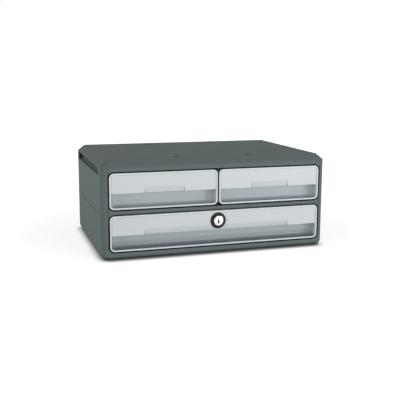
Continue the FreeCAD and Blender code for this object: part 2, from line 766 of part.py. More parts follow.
def drawer_front(label, x, bottom, width, scallop_width, hooks):
    """Front with a raised rim, a flat panel and a finger recess along its whole lower part."""
    body = drawer_body(label, x, bottom)
    half = width / 2
    rim = d.rim_width
    inside = half - rim
    inner_radius = d.front_radius - rim
    add(body, "block", "XZ", 0, d.front_depth, rectangle(-half, 0, half, front_height, d.front_radius))
    recess = Outline(
        (-inside, -OVERRUN), (inside, -OVERRUN),
        (inside, d.recess_depth, d.recess_turn), (-inside, d.recess_depth, d.recess_turn),
    )
    cut(body, "finger_recess", "XY", rim, d.recess_height - rim, recess)
    round_edges(body, "recess_floor_edges", inner_radius, is_recess_floor_edge, grows=True)
    panel = Outline(
        (-inside, d.recess_height - OVERRUN), (inside, d.recess_height - OVERRUN),
        (inside, front_height - rim, inner_radius), (-inside, front_height - rim, inner_radius),
    )
    cut(body, "panel_face", "XZ", -OVERRUN, d.rim_height + OVERRUN, panel)
    wall = d.front_wall
    roof = d.recess_height + wall
    room = rectangle(-half + wall, roof, half - wall, front_height - wall, d.front_radius - wall)
    cut(body, "rear_room", "XZ", panel_back, d.front_depth, room)
    finger_scallop(body, scallop_width)
    for number, spot in enumerate(hook_spots(width, hooks), start=1):
        add(body, f"snap_hook_{number}", "YZ", spot - d.hook_width / 2, d.hook_width, hook_section())
    return body


def hook_section():
    """Side view of a snap hook: an arm from the panel, whose barb grips the tray's front plate."""
    root = panel_back - d.panel_wall / 2
    grip = d.front_depth + d.tray_wall
    top = d.hook_level + d.hook_wall
    barb = top + d.hook_catch
    return Polygon(
        (root, d.hook_level), (grip + d.hook_nose, d.hook_level), (grip + d.hook_nose, top),
        (grip + d.hook_nose / 3, barb), (grip, barb), (grip, top), (root, top),
    )


def hook_spots(width, count):
    """Middles of the snap hooks, evenly across a drawer front."""
    edge = width / 2 - d.hook_inset
    return [edge * (2 * n / (count - 1) - 1) for n in range(count)]


def is_recess_floor_edge(box, middle):
    """Whether an edge runs along the foot of the recess's rear and end walls."""
    return lies_at(box, d.rim_width) and not near(box.YMax, 0)


def finger_scallop(body, width):
    """A shallow slope let into the panel's lower edge, deepest at that edge."""
    sketch = new_sketch(
        body, "scallop", "XZ", d.rim_height,
        Outline(
            (-width / 2, -2 * d.scallop_height),
            (width / 2, -2 * d.scallop_height),
            (width / 2, 0, d.scallop_radius),
            (-width / 2, 0, d.scallop_radius),
        ),
    )
    slope = math.degrees(math.atan2(d.scallop_depth.value, d.scallop_height.value))
    sketch.AttachmentOffset = Placement(Vector(), Rotation(Vector(1, 0, 0), slope))
    bind(
        sketch,
        AttachmentOffset__Base__y=d.recess_height + d.scallop_height,
        AttachmentOffset__Base__z=-d.rim_height,
    )
    scallop = body.newObject("PartDesign::Pocket", "finger_scallop")
    scallop.Profile = sketch
    scallop.Reversed = True
    bind(scallop, Length=d.front_wall)
    settle(body, scallop, False)


def drawer_tray(label, x, bottom, width, hooks):
    """Tray with rounded lower edges, hung on its guides by a flange along each side."""
    body = drawer_body(label, x, bottom)
    half = width / 2 - d.tray_side_gap
    plan = Outline(
        (-half, d.front_depth),
        (half, d.front_depth),
        (half, tray_rear, d.tray_radius),
        (-half, tray_rear, d.tray_radius),
    )
    add(body, "block", "XY", 0, d.tray_height, plan)
    front = d.front_depth.value
    bevel_edges(
        body, "bottom_edges", d.tray_edge, d.tray_edge,
        lambda box, middle: near(box.ZMax, 0) and not (near(box.YMin, front) and near(box.YMax, front)),
    )
    shell(body, "shell", d.tray_wall, lambda box: near(box.ZMin, d.tray_height))
    flanges = both_sides(
        lambda side: side_strip(
            side, half - d.tray_wall / 2, half + d.flange_width, d.front_depth, flange_rear
        )
    )
    add(body, "flanges", "XY", d.tray_height - d.flange_wall, d.flange_wall, *flanges)
    lugs = both_sides(
        lambda side: side_strip(side, half, half + d.flange_width, lug_front, flange_rear)
    )
    add(body, "stop_lugs", "XY", d.tray_height - d.flange_wall / 2, d.lug_height + d.flange_wall / 2, *lugs)
    edge = d.guide_gap
    plate = rectangle(-width / 2 + edge, edge, width / 2 - edge, front_height - edge, d.front_radius - edge)
    add(body, "front_plate", "XZ", d.front_depth, d.tray_wall, plate)
    low = d.hook_level - d.hook_catch - d.hook_play
    high = d.hook_level + d.hook_wall
    reach = d.hook_width / 2 + d.hook_play
    slots = [rectangle(spot - reach, low, spot + reach, high) for spot in hook_spots(width, hooks)]
    cut(body, "hook_slots", "XZ", d.front_depth - OVERRUN, d.tray_wall + 2 * OVERRUN, *slots)
    return body


# ---------------------------------------------------------------- lock


def lock_body_at(label):
    """A body on the lock's axis: its Y axis is the axis, and y = 0 is the front plane."""
    return new_body(label, 0, front_plane, d.foot_height + lock_axis_height)


def lock_bezel():
    """Black ring that screws on to the barrel and clamps the panel from the front."""
    body = lock_body_at("lock_bezel")
    back = d.rim_height
    front = back - d.bezel_height
    turn(
        body, "ring",
        (d.barrel_radius, back), (d.bezel_radius, back), (d.bezel_radius, front + d.bezel_bevel),
        (d.bezel_radius - d.bezel_bevel, front), (d.bezel_bore, front),
        (d.bezel_bore, barrel_front), (d.barrel_radius, barrel_front),
    )
    return body


def lock_barrel():
    """Fixed barrel that the plug turns in."""
    body = lock_body_at("lock_barrel")
    bore = d.plug_radius + d.plug_play
    turn(
        body, "barrel",
        (bore, barrel_front), (d.barrel_radius, barrel_front),
        (d.barrel_radius, barrel_end), (bore, barrel_end),
    )
    return body


def lock_nut():
    """Nut that clamps the barrel to the panel from behind."""
    body = lock_body_at("lock_nut")
    corner = d.lock_nut_flats / math.sqrt(3)
    points = [
        (corner * math.cos(math.radians(60 * n)), corner * math.sin(math.radians(60 * n)))
        for n in range(6)
    ]
    add(body, "hexagon", "XZ", panel_back, d.lock_nut_height, Polygon(*points), Circle(0, 0, d.barrel_radius))
    return body


def lock_cylinder():
    """Turning part of the lock: face, plug and the square end that drives the cam."""
    body = lock_body_at("lock_cylinder")
    face_front = -d.lock_proud
    face_back = face_front + d.face_height
    turn(
        body, "face_and_plug",
        (0, face_front), (d.face_radius - d.face_bevel, face_front),
        (d.face_radius, face_front + d.face_bevel), (d.face_radius, face_back),
        (d.plug_radius, face_back), (d.plug_radius, barrel_end), (0, barrel_end),
    )
    half = d.cam_square / 2
    end = cam_front + d.cam_wall
    add(body, "square", "XZ", barrel_end, end - barrel_end, rectangle(-half, -half, half, half))
    low, high = -d.key_slot_height / 2, d.key_slot_height / 2
    wide, slim = d.key_slot_width / 2, d.key_slot_neck / 2
    slot = Outline(
        (-wide, low), (wide, low), (wide, 0), (slim, 0),
        (slim, high), (-slim, high), (-slim, 0), (-wide, 0),
    )
    cut(body, "keyhole", "XZ", face_front - OVERRUN, d.key_slot_depth + OVERRUN, slot)
    screw_hole = Circle(0, 0, d.cam_screw_radius)
    cut(body, "screw_hole", "XZ", end - d.cam_screw_length, d.cam_screw_length + OVERRUN, screw_hole)
    return body


def lock_cam():
    """Arm that points to the left when the lock is open and rises behind the strike when it is turned."""
    body = lock_body_at("lock_cam")
    half = d.cam_width / 2
    add(body, "hub", "XZ", cam_front, d.cam_wall, Circle(0, 0, d.cam_hub_radius))
    arm = Outline(
        (-d.cam_reach, -half, d.cam_tip_radius), (0, -half), (0, half), (-d.cam_reach, half, d.cam_tip_radius)
    )
    add(body, "arm", "XZ", cam_front, d.cam_wall, arm)
    square = d.cam_square / 2
    hole = rectangle(-square, -square, square, square)
    cut(body, "square_hole", "XZ", cam_front - OVERRUN, d.cam_wall + 2 * OVERRUN, hole)
    return body


def lock_strike():
    """Bent plate under the shelf, whose front leg stops the turned cam."""
    body = case_body("lock_strike")
    low = shelf_bottom - d.crossbar / 2 - d.strike_drop + d.strike_wall
    section = Outline(
        (d.frame_depth, shelf_bottom - d.strike_wall),
        (strike_front, shelf_bottom - d.strike_wall),
        (strike_front, low),
        (strike_back, low),
        (strike_back, shelf_bottom),
        (d.frame_depth, shelf_bottom),
    )
    half = d.strike_width / 2
    add(body, "plate", "YZ", -half, d.strike_width, section)
    passage = Circle(0, strike_screw_y, d.strike_screw_radius + d.screw_clearance)
    under = shelf_bottom - d.strike_wall
    cut(body, "screw_hole", "XY", under - OVERRUN, d.strike_wall + 2 * OVERRUN, passage)
    return body


# ---------------------------------------------------------------- screws


def screw(label, shank_radius, length, x, y, z, way):
    """A pan-head screw whose shank runs from x, y, z along `way`, with its head behind that point."""
    shank = document.addObject("Part::Cylinder", f"{label}_shank")
    head = document.addObject("Part::Cylinder", f"{label}_head")
    bind(shank, Radius=shank_radius, Height=length)
    bind(head, Radius=shank_radius * d.screw_head_ratio, Height=d.screw_head_height)
    turned = Rotation(Vector(0, 0, 1), way)
    for item, shift in ((shank, ZERO), (head, -d.screw_head_height)):
        item.Placement = Placement(Vector(), turned)
        bind(
            item,
            Placement__Base__x=Size.of(x) + shift * way.x,
            Placement__Base__y=Size.of(y) + shift * way.y,
            Placement__Base__z=Size.of(z) + shift * way.z,
        )
    joined = document.addObject("Part::Fuse", label)
    joined.Label = label
    joined.Base, joined.Tool = shank, head
    return joined


def strike_screw():
    z = d.foot_height + shelf_bottom - d.strike_wall
    length = d.strike_wall + d.case_wall
    y = front_plane + strike_screw_y
    return screw("strike_screw", d.strike_screw_radius, length, 0, y, z, Vector(0, 0, 1))


def cam_screw():
    y = front_plane + cam_front + d.cam_wall
    z = d.foot_height + lock_axis_height
    return screw("cam_screw", d.cam_screw_radius, d.cam_screw_length, 0, y, z, Vector(0, -1, 0))


# ---------------------------------------------------------------- the whole


def drawer(name, x, bottom, width, scallop_width, hooks):
    """One drawer's pieces: its front, and the tray that the front's hooks snap into."""
    return [
        drawer_front(f"{name}_front", x, bottom, width, scallop_width, hooks),
        drawer_tray(f"{name}_tray", x, bottom, width, hooks),
    ]


def fit_lock(front, tray):
    """Holes for the lock through the panel of a front and through its tray's front plate."""
    through = Circle(0, d.lock_height, d.barrel_radius)
    cut(front, "lock_hole", "XZ", -OVERRUN, panel_back + 2 * OVERRUN, through)
    room = Circle(0, d.lock_height, d.barrel_radius + d.turn_gap)
    cut(tray, "lock_hole", "XZ", d.front_depth - OVERRUN, d.tray_wall + 2 * OVERRUN, room)


def make_pieces():
    pieces = [lower_housing(), upper_housing(), front_frame(), top_cover(), centre_partition()]
    pieces += [lock_strike(), strike_screw()]
    for x, side in ((-1, "left"), (1, "right")):
        for y, end in ((-1, "front"), (1, "rear")):
            pieces.append(foot(f"foot_{end}_{side}", x, y))
    for x, side in ((-1, "left"), (1, "right")):
        place = x * upper_front_offset
        name = f"upper_{side}"
        pieces += drawer(name, place, upper_front_bottom, upper_front_width, d.scallop_width_upper, 2)
    lower = drawer("lower", ZERO, lower_front_bottom, lower_front_width, d.scallop_width_lower, 4)
    fit_lock(lower[0], lower[1])
    pieces += lower
    pieces += [lock_bezel(), lock_barrel(), lock_nut(), lock_cylinder(), lock_cam(), cam_screw()]
    return pieces


def check(pieces):
    """Stop if any object failed or any piece is empty or broken."""
    for item in document.Objects:
        if "Invalid" in item.State or "Error" in item.State:
            raise RuntimeError(f"{item.Label}: {item.State}")
    for piece in pieces:
        if piece.Shape.isNull() or not piece.Shape.isValid():
            raise RuntimeError(f"{piece.Label}: its shape is empty or not valid")


document_pieces = make_pieces()
document.recompute()
check(document_pieces)
os.makedirs("parts", exist_ok=True)
for piece in document_pieces:
    piece.Shape.exportStep(f"parts/{piece.Label}.step")
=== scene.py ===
"""Desktop file drawer: finishes, lock, screws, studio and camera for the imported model.

The file is laid out as an add-on and run as a script. Lengths are in metres, and the axes are the
frame's: X to the right, Y to the rear and Z up.
"""

import json
import math

import bmesh
import bpy
from bpy.props import FloatProperty, FloatVectorProperty, PointerProperty
from mathutils import Matrix, Vector


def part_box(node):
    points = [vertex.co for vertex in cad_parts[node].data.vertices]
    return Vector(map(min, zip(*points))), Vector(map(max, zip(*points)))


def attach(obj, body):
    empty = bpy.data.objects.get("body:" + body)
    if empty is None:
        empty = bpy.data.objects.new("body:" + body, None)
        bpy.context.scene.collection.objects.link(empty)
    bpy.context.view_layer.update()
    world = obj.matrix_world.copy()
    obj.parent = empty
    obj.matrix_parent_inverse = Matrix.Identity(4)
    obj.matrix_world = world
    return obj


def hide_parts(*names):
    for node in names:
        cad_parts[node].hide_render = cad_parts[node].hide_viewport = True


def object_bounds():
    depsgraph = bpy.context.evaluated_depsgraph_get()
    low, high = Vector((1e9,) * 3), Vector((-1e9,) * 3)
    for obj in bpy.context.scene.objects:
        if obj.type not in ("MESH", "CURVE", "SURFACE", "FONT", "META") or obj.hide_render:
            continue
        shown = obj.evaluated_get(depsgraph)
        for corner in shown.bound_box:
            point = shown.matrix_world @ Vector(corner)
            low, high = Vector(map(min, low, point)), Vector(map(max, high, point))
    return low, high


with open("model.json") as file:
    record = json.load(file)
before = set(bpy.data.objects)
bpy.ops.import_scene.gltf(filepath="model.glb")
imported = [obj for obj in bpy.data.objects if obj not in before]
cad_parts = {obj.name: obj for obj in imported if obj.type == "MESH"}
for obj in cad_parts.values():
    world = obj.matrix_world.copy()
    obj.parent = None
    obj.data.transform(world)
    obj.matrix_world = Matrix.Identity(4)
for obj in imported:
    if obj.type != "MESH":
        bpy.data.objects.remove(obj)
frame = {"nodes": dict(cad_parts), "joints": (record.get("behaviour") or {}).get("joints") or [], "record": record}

bl_info = {
    "name": "Desktop File Drawer",
    "version": (1, 0, 0),
    "blender": (4, 5, 0),
    "location": "3D View > Sidebar > File Drawer",
    "description": "Finishes, lock, screws and studio for a lockable desktop file drawer",
    "category": "Object",
}

CAD_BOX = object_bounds()

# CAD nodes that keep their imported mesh, by finish.
MOULDINGS = ("lower_housing", "upper_housing", "front_frame", "centre_partition")
COVER = "top_cover"
FEET = ("foot_front_left", "foot_rear_left", "foot_front_right", "foot_rear_right")
FRONTS = ("upper_left_front", "upper_right_front", "lower_front")
TRAYS = ("upper_left_tray", "upper_right_tray", "lower_tray")
PLATED = ("lock_cam", "lock_strike")

# Every front begins at this plane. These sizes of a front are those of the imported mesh.
FRONT_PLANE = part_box("lower_front")[0].y
RIM_WIDTH, RIM_HEIGHT = 0.0022, 0.0008
RECESS_HEIGHT, SCALLOP_HEIGHT = 0.0254, 0.0094

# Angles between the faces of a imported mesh: on one flat face, at a sharp edge and at a crease.
FLAT_ANGLE, SHARP_ANGLE = math.radians(0.2), math.radians(35)
CREASE_FROM, CREASE_TO = math.radians(30), math.radians(45)
# The top cover's creases are softened at the front and sides, and left this near the rear.
REAR_STRIP = 0.03


def named(rows, name):
    """The row of that name in one of the frame's lists."""
    return next(row for row in rows if row["name"] == name)


def behind_fronts(node):
    """Where a node starts and ends, as distances behind the plane of the fronts."""
    return [corner.y - FRONT_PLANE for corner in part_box(node)]


SOCKETS = named(frame["record"]["mounts"], "stacking_sockets")

# The lock's axis runs along Y. Places along it are distances behind the plane of the fronts.
LOCK_X, _, LOCK_Z = named(frame["joints"], "lock_turn")["pos_m"]
FACE_FRONT, SQUARE_END = behind_fronts("lock_cylinder")
BARREL_FRONT, BARREL_END = behind_fronts("lock_barrel")
FACE_BACK, LIP_FRONT = -0.0007, -0.00195
BARREL_RADIUS, PLUG_RADIUS, CAM_SQUARE = 0.0080, 0.0066, 0.0070
FACE_GAP, SLEEVE_GAP = 0.0003, 0.00005
THREAD_DEPTH, KEYHOLE_DEPTH = 0.0004, 0.008

# Each screw's shank radius and head radius, and the height of both heads.
CAM_SCREW, STRIKE_SCREW = (0.0020, 0.0040), (0.0016, 0.0032)
HEAD_HEIGHT = 0.0018

# How far a shape runs into or past the one that it is combined with.
OVERLAP = 0.001

# Place, width and height of each lamp.
LAMPS = {
    "front": ((1.1, -2.0, 0.35), 1.8, 0.6),
    "side": ((-2.2, -1.0, 0.45), 1.8, 0.8),
    "top": ((0.0, -0.2, 2.3), 2.0, 2.0),
}
FLOOR_HALF_WIDTH, SENSOR_WIDTH_MM = 20.0, 36.0


# ---------------------------------------------------------------- settings

# Each of these five functions describes one kind of property that a user may change.


def colour(name, description, default):
    return FloatVectorProperty(
        name=name, description=description, subtype="COLOR", size=3, min=0, max=1, default=default
    )


def length(name, description, default):
    return FloatProperty(
        name=name, description=description, unit="LENGTH", min=0, precision=5, default=default
    )


def share(name, description, default):
    return FloatProperty(
        name=name, description=description, subtype="FACTOR", min=0, max=1, default=default
    )


def angle(name, description, degrees):
    return FloatProperty(
        name=name, description=description, subtype="ANGLE", default=math.radians(degrees)
    )


def power(name, description, watts):
    return FloatProperty(name=name, description=description, subtype="POWER", min=0, default=watts)


class CasingSettings(bpy.types.PropertyGroup):
    """Grained grey plastic of the casing, and its rubber feet."""

    colour: colour("Colour", "Colour of the casing", (0.134, 0.171, 0.169))
    roughness: share("Roughness", "How matt the casing is", 0.70)
    grain_size: length("Grain size", "Width of one pit of the moulded grain", 0.0005)
    grain_depth: length("Grain depth", "Depth of the moulded grain", 0.00003)
    edge_radius: length("Edge radius", "Rounding of the casing's sharp edges", 0.0005)
    crease_width: length("Crease width", "Width of the turn from the top to its slope", 0.005)
    foot_radius: length("Foot edge radius", "Rounding of the feet's sharp edges", 0.0003)


class DrawerSettings(bpy.types.PropertyGroup):
    """Silver grey plastic of the fronts and trays."""

    front_colour: colour("Front colour", "Colour of the drawer fronts", (0.66, 0.695, 0.72))
    tray_colour: colour("Tray colour", "Colour of the drawer trays", (0.50, 0.54, 0.56))
    roughness: share("Roughness", "How matt the drawers are", 0.36)
    flake_size: length("Flake size", "Width of one silver flake in the plastic", 0.0005)
    # The next six shares are painted shade: how much the colour of a finger recess, its floor and the scallop over
    # it is darkened.
    upper_recess: share("Upper recess tone", "How much deeper an upper finger recess is", 0.30)
    lower_recess: share("Lower recess tone", "How much deeper the lower finger recess is", 0.35)
    upper_floor: share("Upper floor tone", "How much deeper again its floor is, above", 0.14)
    lower_floor: share("Lower floor tone", "How much deeper again its floor is, below", 0.48)
    upper_scallop: share("Upper scallop tone", "How much deeper an upper scallop is", 0.03)
    lower_scallop: share("Lower scallop tone", "How much deeper the lower scallop is", 0.13)
    edge_radius: length("Edge radius", "Rounding of the trays' sharp edges", 0.0005)
    rim_radius: length("Rim radius", "Rounding of the rim round each front", 0.0009)


class LockSettings(bpy.types.PropertyGroup):
    """Black ring, bright face and plated steel of the lock."""

    ring_colour: colour("Ring colour", "Colour of the ring round the face", (0.012, 0.012, 0.013))
    metal_colour: colour("Metal colour", "Colour of the face and barrel", (0.78, 0.79, 0.80))
    steel_colour: colour("Steel colour", "Colour of the cam, strike and screws", (0.50, 0.51, 0.53))
    turning_pitch: length("Turning pitch", "Distance between lathe marks on the face", 0.0002)
    ring_radius: length("Ring radius", "Outside of the ring round the face", 0.01325)
    face_radius: length("Face radius", "Bright face that turns with the key", 0.0080)
    key_height: length("Keyhole height", "Keyhole, top to bottom", 0.0086)
    key_width: length("Keyhole width", "Keyhole, broad end", 0.0032)
    key_neck: length("Keyhole neck", "Keyhole, narrow end", 0.0015)
    thread_pitch: length("Thread pitch", "Thread on the barrel, crest to crest", 0.0010)
    edge_radius: length("Edge radius", "Rounding of the lock's sharp edges", 0.0002)


class StudioSettings(bpy.types.PropertyGroup):
    """Floor, lamps and camera."""

    floor_colour: colour("Floor colour", "Colour of the floor", (0.80, 0.80, 0.80))
    floor_glow: share("Floor glow", "What the floor adds where it is looked at", 0.70)
    sky_level: share("Sky level", "Even light from all round", 0.27)
    front_power: power("Front power", "Large low lamp in front of the drawers", 26.5)
    side_power: power("Side power", "Large low lamp to the left", 16.0)
    top_power: power("Top power", "Large lamp overhead", 1.5)
    camera_place: FloatVectorProperty(
        name="Camera place", description="Where the camera stands", subtype="TRANSLATION",
        unit="LENGTH", size=3, default=(-0.3667, -1.19155, 0.2988),
    )
    camera_yaw: angle("Camera yaw", "How far the camera turns to the right", 17.57)
    camera_pitch: angle("Camera pitch", "How far the camera looks down", 10.55)
    camera_roll: angle("Camera roll", "How far the camera leans", 0.22)
    focal_length: FloatProperty(
        name="Focal length", description="Lens of the camera, in millimetres",
        subtype="DISTANCE_CAMERA", default=62.37,
    )


class FileDrawerSettings(bpy.types.PropertyGroup):
    """All settings of the file drawer."""

    casing: PointerProperty(
        type=CasingSettings, name="Casing", description="Casing and its feet"
    )
    drawers: PointerProperty(
        type=DrawerSettings, name="Drawers", description="Fronts and trays"
    )
    lock: PointerProperty(
        type=LockSettings, name="Lock", description="Ring, face and plated steel of the lock"
    )
    studio: PointerProperty(
        type=StudioSettings, name="Studio", description="Floor, lamps and camera"
    )


# ---------------------------------------------------------------- node trees


class Nodes:
    """Adds nodes to a tree; an input is a value, or the output of another node."""

    def __init__(self, tree):
        self.tree = tree

    def feed(self, socket, value):
        """Set an input, or link it to another node's output."""
        if isinstance(value, bpy.types.NodeSocket):
            self.tree.links.new(value, socket)
        elif isinstance(value, tuple) and len(value) == 3 and socket.type == "RGBA":
            socket.default_value = (*value, 1.0)
        else:
            socket.default_value = value

    def add(self, kind, inputs=None, **properties):
        """A new node, with its properties and then its inputs set."""
        node = self.tree.nodes.new(kind)
        for name, value in properties.items():
            setattr(node, name, value)
        for name, value in (inputs or {}).items():
            self.feed(node.inputs[name], value)
        return node

    def maths(self, operation, *values, clamp=False):
        """Maths on numbers."""
        inputs = dict(enumerate(values))
        return self.add("ShaderNodeMath", inputs, operation=operation, use_clamp=clamp).outputs[0]

    def vector(self, operation, *values):
        """Vector maths, whose result is a vector, or a number for a length or a dot product."""
        node = self.add("ShaderNodeVectorMath", dict(enumerate(values)), operation=operation)
        return node.outputs["Value" if operation in ("LENGTH", "DOT_PRODUCT") else "Vector"]

    def product(self, first, *others):
        """All the values multiplied together."""
        for value in others:
            first = self.maths("MULTIPLY", first, value)
        return first

    def mean(self, one, other):
        """The number halfway between two."""
        return self.maths("MULTIPLY_ADD", one, 0.5, self.product(other, 0.5))

    def spread(self, value, low, high, first=0.0, last=1.0):
        """Moves a value from first..last to low..high, and keeps it between them."""
        inputs = {"Value": value, "From Min": first, "From Max": last}
        inputs.update({"To Min": low, "To Max": high})
        return self.add("ShaderNodeMapRange", inputs).outputs[0]

    def past(self, value, limit, width, low=0.0, high=1.0):
        """Low up to a limit, and high from a width past it."""
        return self.spread(self.maths("SUBTRACT", value, limit), low, high, 0.0, width)

    def mixed(self, factor, first, second):
        """A colour between two colours."""
        node = self.add("ShaderNodeMix", data_type="RGBA")
        colours = [socket for socket in node.inputs if socket.type == "RGBA"]
        self.feed(node.inputs[0], factor)
        self.feed(colours[0], first)
        self.feed(colours[1], second)
        return [socket for socket in node.outputs if socket.type == "RGBA"][0]

    def varied(self, mask, tone, low, high):
        """A tone that a mask takes from one share of itself to another."""
        return self.mixed(mask, toned(tone, low), toned(tone, high))

    def place(self):
        """Where a point of the surface is, in the frame."""
        return self.add("ShaderNodeTexCoord").outputs["Object"]

    def axes(self, place=None):
        """A place's distances along X, Y and Z."""
        return self.add("ShaderNodeSeparateXYZ", {0: place or self.place()}).outputs

    def noise(self, scale, detail=2.0, roughness=0.5, place=None):
        """Soft noise from 0 to 1; the larger its scale, the finer it is."""
        inputs = {"Scale": scale, "Detail": detail, "Roughness": roughness}
        inputs["Vector"] = place or self.place()
        return self.add("ShaderNodeTexNoise", inputs).outputs[0]

    def group(self, name, **values):
        """A shared group, built when it is first wanted, with this material's own values."""
        if name not in bpy.data.node_groups:
            SHARED_GROUPS[name]()
        node = self.add("ShaderNodeGroup", node_tree=bpy.data.node_groups[name])
        for label, value in values.items():
            self.feed(node.inputs[label], value)
        return node.outputs


def emptied(owner):
    """The nodes of a material or world, with none in it yet."""
    owner.use_nodes = True
    owner.node_tree.nodes.clear()
    return Nodes(owner.node_tree)


def new_group(name, inputs, outputs):
    """A shader node group with named sockets: its nodes, what goes in and what comes out."""
    tree = bpy.data.node_groups.new(name, "ShaderNodeTree")
    for label, default in inputs.items():
        socket = tree.interface.new_socket(label, in_out="INPUT", socket_type="NodeSocketFloat")
        socket.default_value = default
    for label in outputs:
        tree.interface.new_socket(label, in_out="OUTPUT", socket_type="NodeSocketFloat")
    nodes = Nodes(tree)
    given = nodes.add("NodeGroupInput").outputs
    result = nodes.add("NodeGroupOutput").inputs
    return nodes, given, result


def make_moulded_grain():
    """Rounded pits of a grained mould, and a slow drift over the piece."""
    nodes, given, result = new_group("Moulded Grain", {"Size": 0.0005}, ["Height", "Drift"])
    scale = nodes.maths("DIVIDE", 1.0, given["Size"])
    drift_scale = nodes.maths("DIVIDE", scale, 60.0)
    place = nodes.place()
    inputs = {"Vector": place, "Scale": scale, "Smoothness": 0.6}
    pits = nodes.add("ShaderNodeTexVoronoi", inputs, feature="SMOOTH_F1").outputs["Distance"]
    fine = nodes.noise(scale, detail=3.0, roughness=0.6, place=place)
    nodes.feed(result["Height"], nodes.maths("MULTIPLY_ADD", pits, 0.8, fine))
    nodes.feed(result["Drift"], nodes.noise(drift_scale, detail=3.0, place=place))


def make_edge_rub_and_highlight():
    """A mask of edges, broken up in patches, where handling polishes them and a painted highlight lightens their
    colour.
    """
    nodes, given, result = new_group("Edge Rub", {"Radius": 0.001}, ["Mask"])
    normal = nodes.add("ShaderNodeNewGeometry").outputs["Normal"]
    softened = nodes.add("ShaderNodeBevel", {"Radius": given["Radius"]}, samples=6).outputs[0]
    agreement = nodes.vector("DOT_PRODUCT", normal, softened)
    edge = nodes.spread(agreement, low=0.0, high=1.0, first=1.0, last=0.85)
    cloudy = nodes.noise(scale=90.0, detail=4.0)
    patches = nodes.spread(cloudy, low=0.2, high=1.0, first=0.3, last=0.7)
    nodes.feed(result["Mask"], nodes.maths("MULTIPLY", edge, patches, clamp=True))


def make_silver_flake():
    """Fine flakes in a tinted plastic: their tone, and the slight unevenness of the skin."""
    nodes, given, result = new_group("Silver Flake", {"Size": 0.0005}, ["Tone", "Height"])
    scale = nodes.maths("DIVIDE", 1.0, given["Size"])
    place = nodes.place()
    flakes = nodes.add("ShaderNodeTexVoronoi", {"Vector": place, "Scale": scale}, feature="F1")
    grey = nodes.add("ShaderNodeSeparateColor", {0: flakes.outputs["Color"]}).outputs[0]
    flow = nodes.noise(scale=14.0, place=place)
    nodes.feed(result["Tone"], nodes.mean(grey, flow))
    skin_scale = nodes.maths("DIVIDE", scale, 4.0)
    nodes.feed(result["Height"], nodes.noise(skin_scale, place=place))


def make_cavity_shade():
    """A mask of narrow gaps and holes, where the colour is darkened as painted shade."""
    nodes, given, result = new_group("Cavity Shade", {"Reach": 0.004, "Open": 0.70}, ["Mask"])
    shade = nodes.add("ShaderNodeAmbientOcclusion", {"Distance": given["Reach"]}, samples=8)
    mask = nodes.spread(shade.outputs["AO"], low=1.0, high=0.0, first=0.20, last=given["Open"])
    nodes.feed(result["Mask"], mask)


def make_socket_shade():
    """A mask of painted shade in the four stacking sockets in the top and in a narrow ring round each."""
    nodes, given, result = new_group("Socket Dust", {"Ring": 0.0006}, ["Mask"])
    middle_x, middle_y, _ = SOCKETS["pos_m"]
    names = ("spacing_x_mm", "spacing_y_mm", "hole_r_mm")
    spacing_x, spacing_y, radius = (SOCKETS["dims"][name] / 1000 for name in names)
    x, y, _ = nodes.axes()

    def beyond(value, middle, spacing):
        """How far a place lies past the sockets' own distance from the middle."""
        from_middle = nodes.maths("ABSOLUTE", nodes.maths("SUBTRACT", value, middle))
        return nodes.maths("SUBTRACT", from_middle, spacing / 2)

    across = beyond(x, middle_x, spacing_x)
    along = beyond(y, middle_y, spacing_y)
    square = nodes.maths("MULTIPLY_ADD", across, across, nodes.product(along, along))
    edge = nodes.maths("ADD", given["Ring"], radius)
    mask = nodes.past(nodes.maths("SQRT", square), edge, given["Ring"], low=1.0, high=0.0)
    nodes.feed(result["Mask"], mask)


def make_recess_shade_and_rim_highlight():
    """Masks of a front's finger recess, its foot, the scallop over it and the rim round all: painted shade in the
    first three, a painted highlight on the rim.
    """
    inputs = {"Left": -0.1, "Right": 0.1, "Floor": 0.0, "Ceiling": 0.02, "Panel": 0.0}
    nodes, given, result = new_group("Recess Tone", inputs, ["Recess", "Foot", "Scallop", "Rim"])
    side_fade, top_fade, back_fade, face_fade = 0.0008, 0.0001, 0.0040, 0.0003
    foot_from, foot_to = 0.001, 0.012
    x, y, z = nodes.axes()

    from_left = nodes.past(x, given["Left"], side_fade)
    from_right = nodes.past(given["Right"], x, side_fade)
    across = nodes.product(from_left, from_right)
    below = nodes.past(z, given["Ceiling"], top_fade, low=1.0, high=0.0)
    recess = nodes.product(across, below, nodes.past(y, given["Panel"], back_fade))
    nodes.feed(result["Recess"], recess)

    height = nodes.maths("SUBTRACT", z, given["Floor"])
    foot = nodes.spread(height, low=1.0, high=0.0, first=foot_from, last=foot_to)
    nodes.feed(result["Foot"], nodes.product(recess, foot))

    above = nodes.past(z, given["Ceiling"], top_fade)
    sunk = nodes.past(y, given["Panel"], face_fade)
    rising = nodes.past(z, given["Ceiling"], SCALLOP_HEIGHT, low=1.0, high=0.1)
    nodes.feed(result["Scallop"], nodes.product(across, above, sunk, rising))

    proud = nodes.maths("SUBTRACT", given["Panel"], 2 * face_fade)
    nodes.feed(result["Rim"], nodes.past(y, proud, face_fade, low=1.0, high=0.0))


def make_lathe_marks():
    """Rings round the lock's axis, as a turned face has, with a few scratches across them."""
    nodes, given, result = new_group("Lathe Marks", {"Pitch": 0.0002}, ["Height"])
    from_axis = nodes.vector("SUBTRACT", nodes.place(), (LOCK_X, 0.0, LOCK_Z))
    radius = nodes.vector("LENGTH", nodes.vector("MULTIPLY", from_axis, (1.0, 0.0, 1.0)))
    inputs = {"W": nodes.maths("DIVIDE", radius, given["Pitch"]), "Scale": 1.0, "Detail": 2.0}
    rings = nodes.add("ShaderNodeTexNoise", inputs, noise_dimensions="1D").outputs[0]
    scratches = nodes.noise(scale=2500.0, detail=3.0, roughness=0.7)
    nodes.feed(result["Height"], nodes.maths("MULTIPLY_ADD", scratches, 0.25, rings))


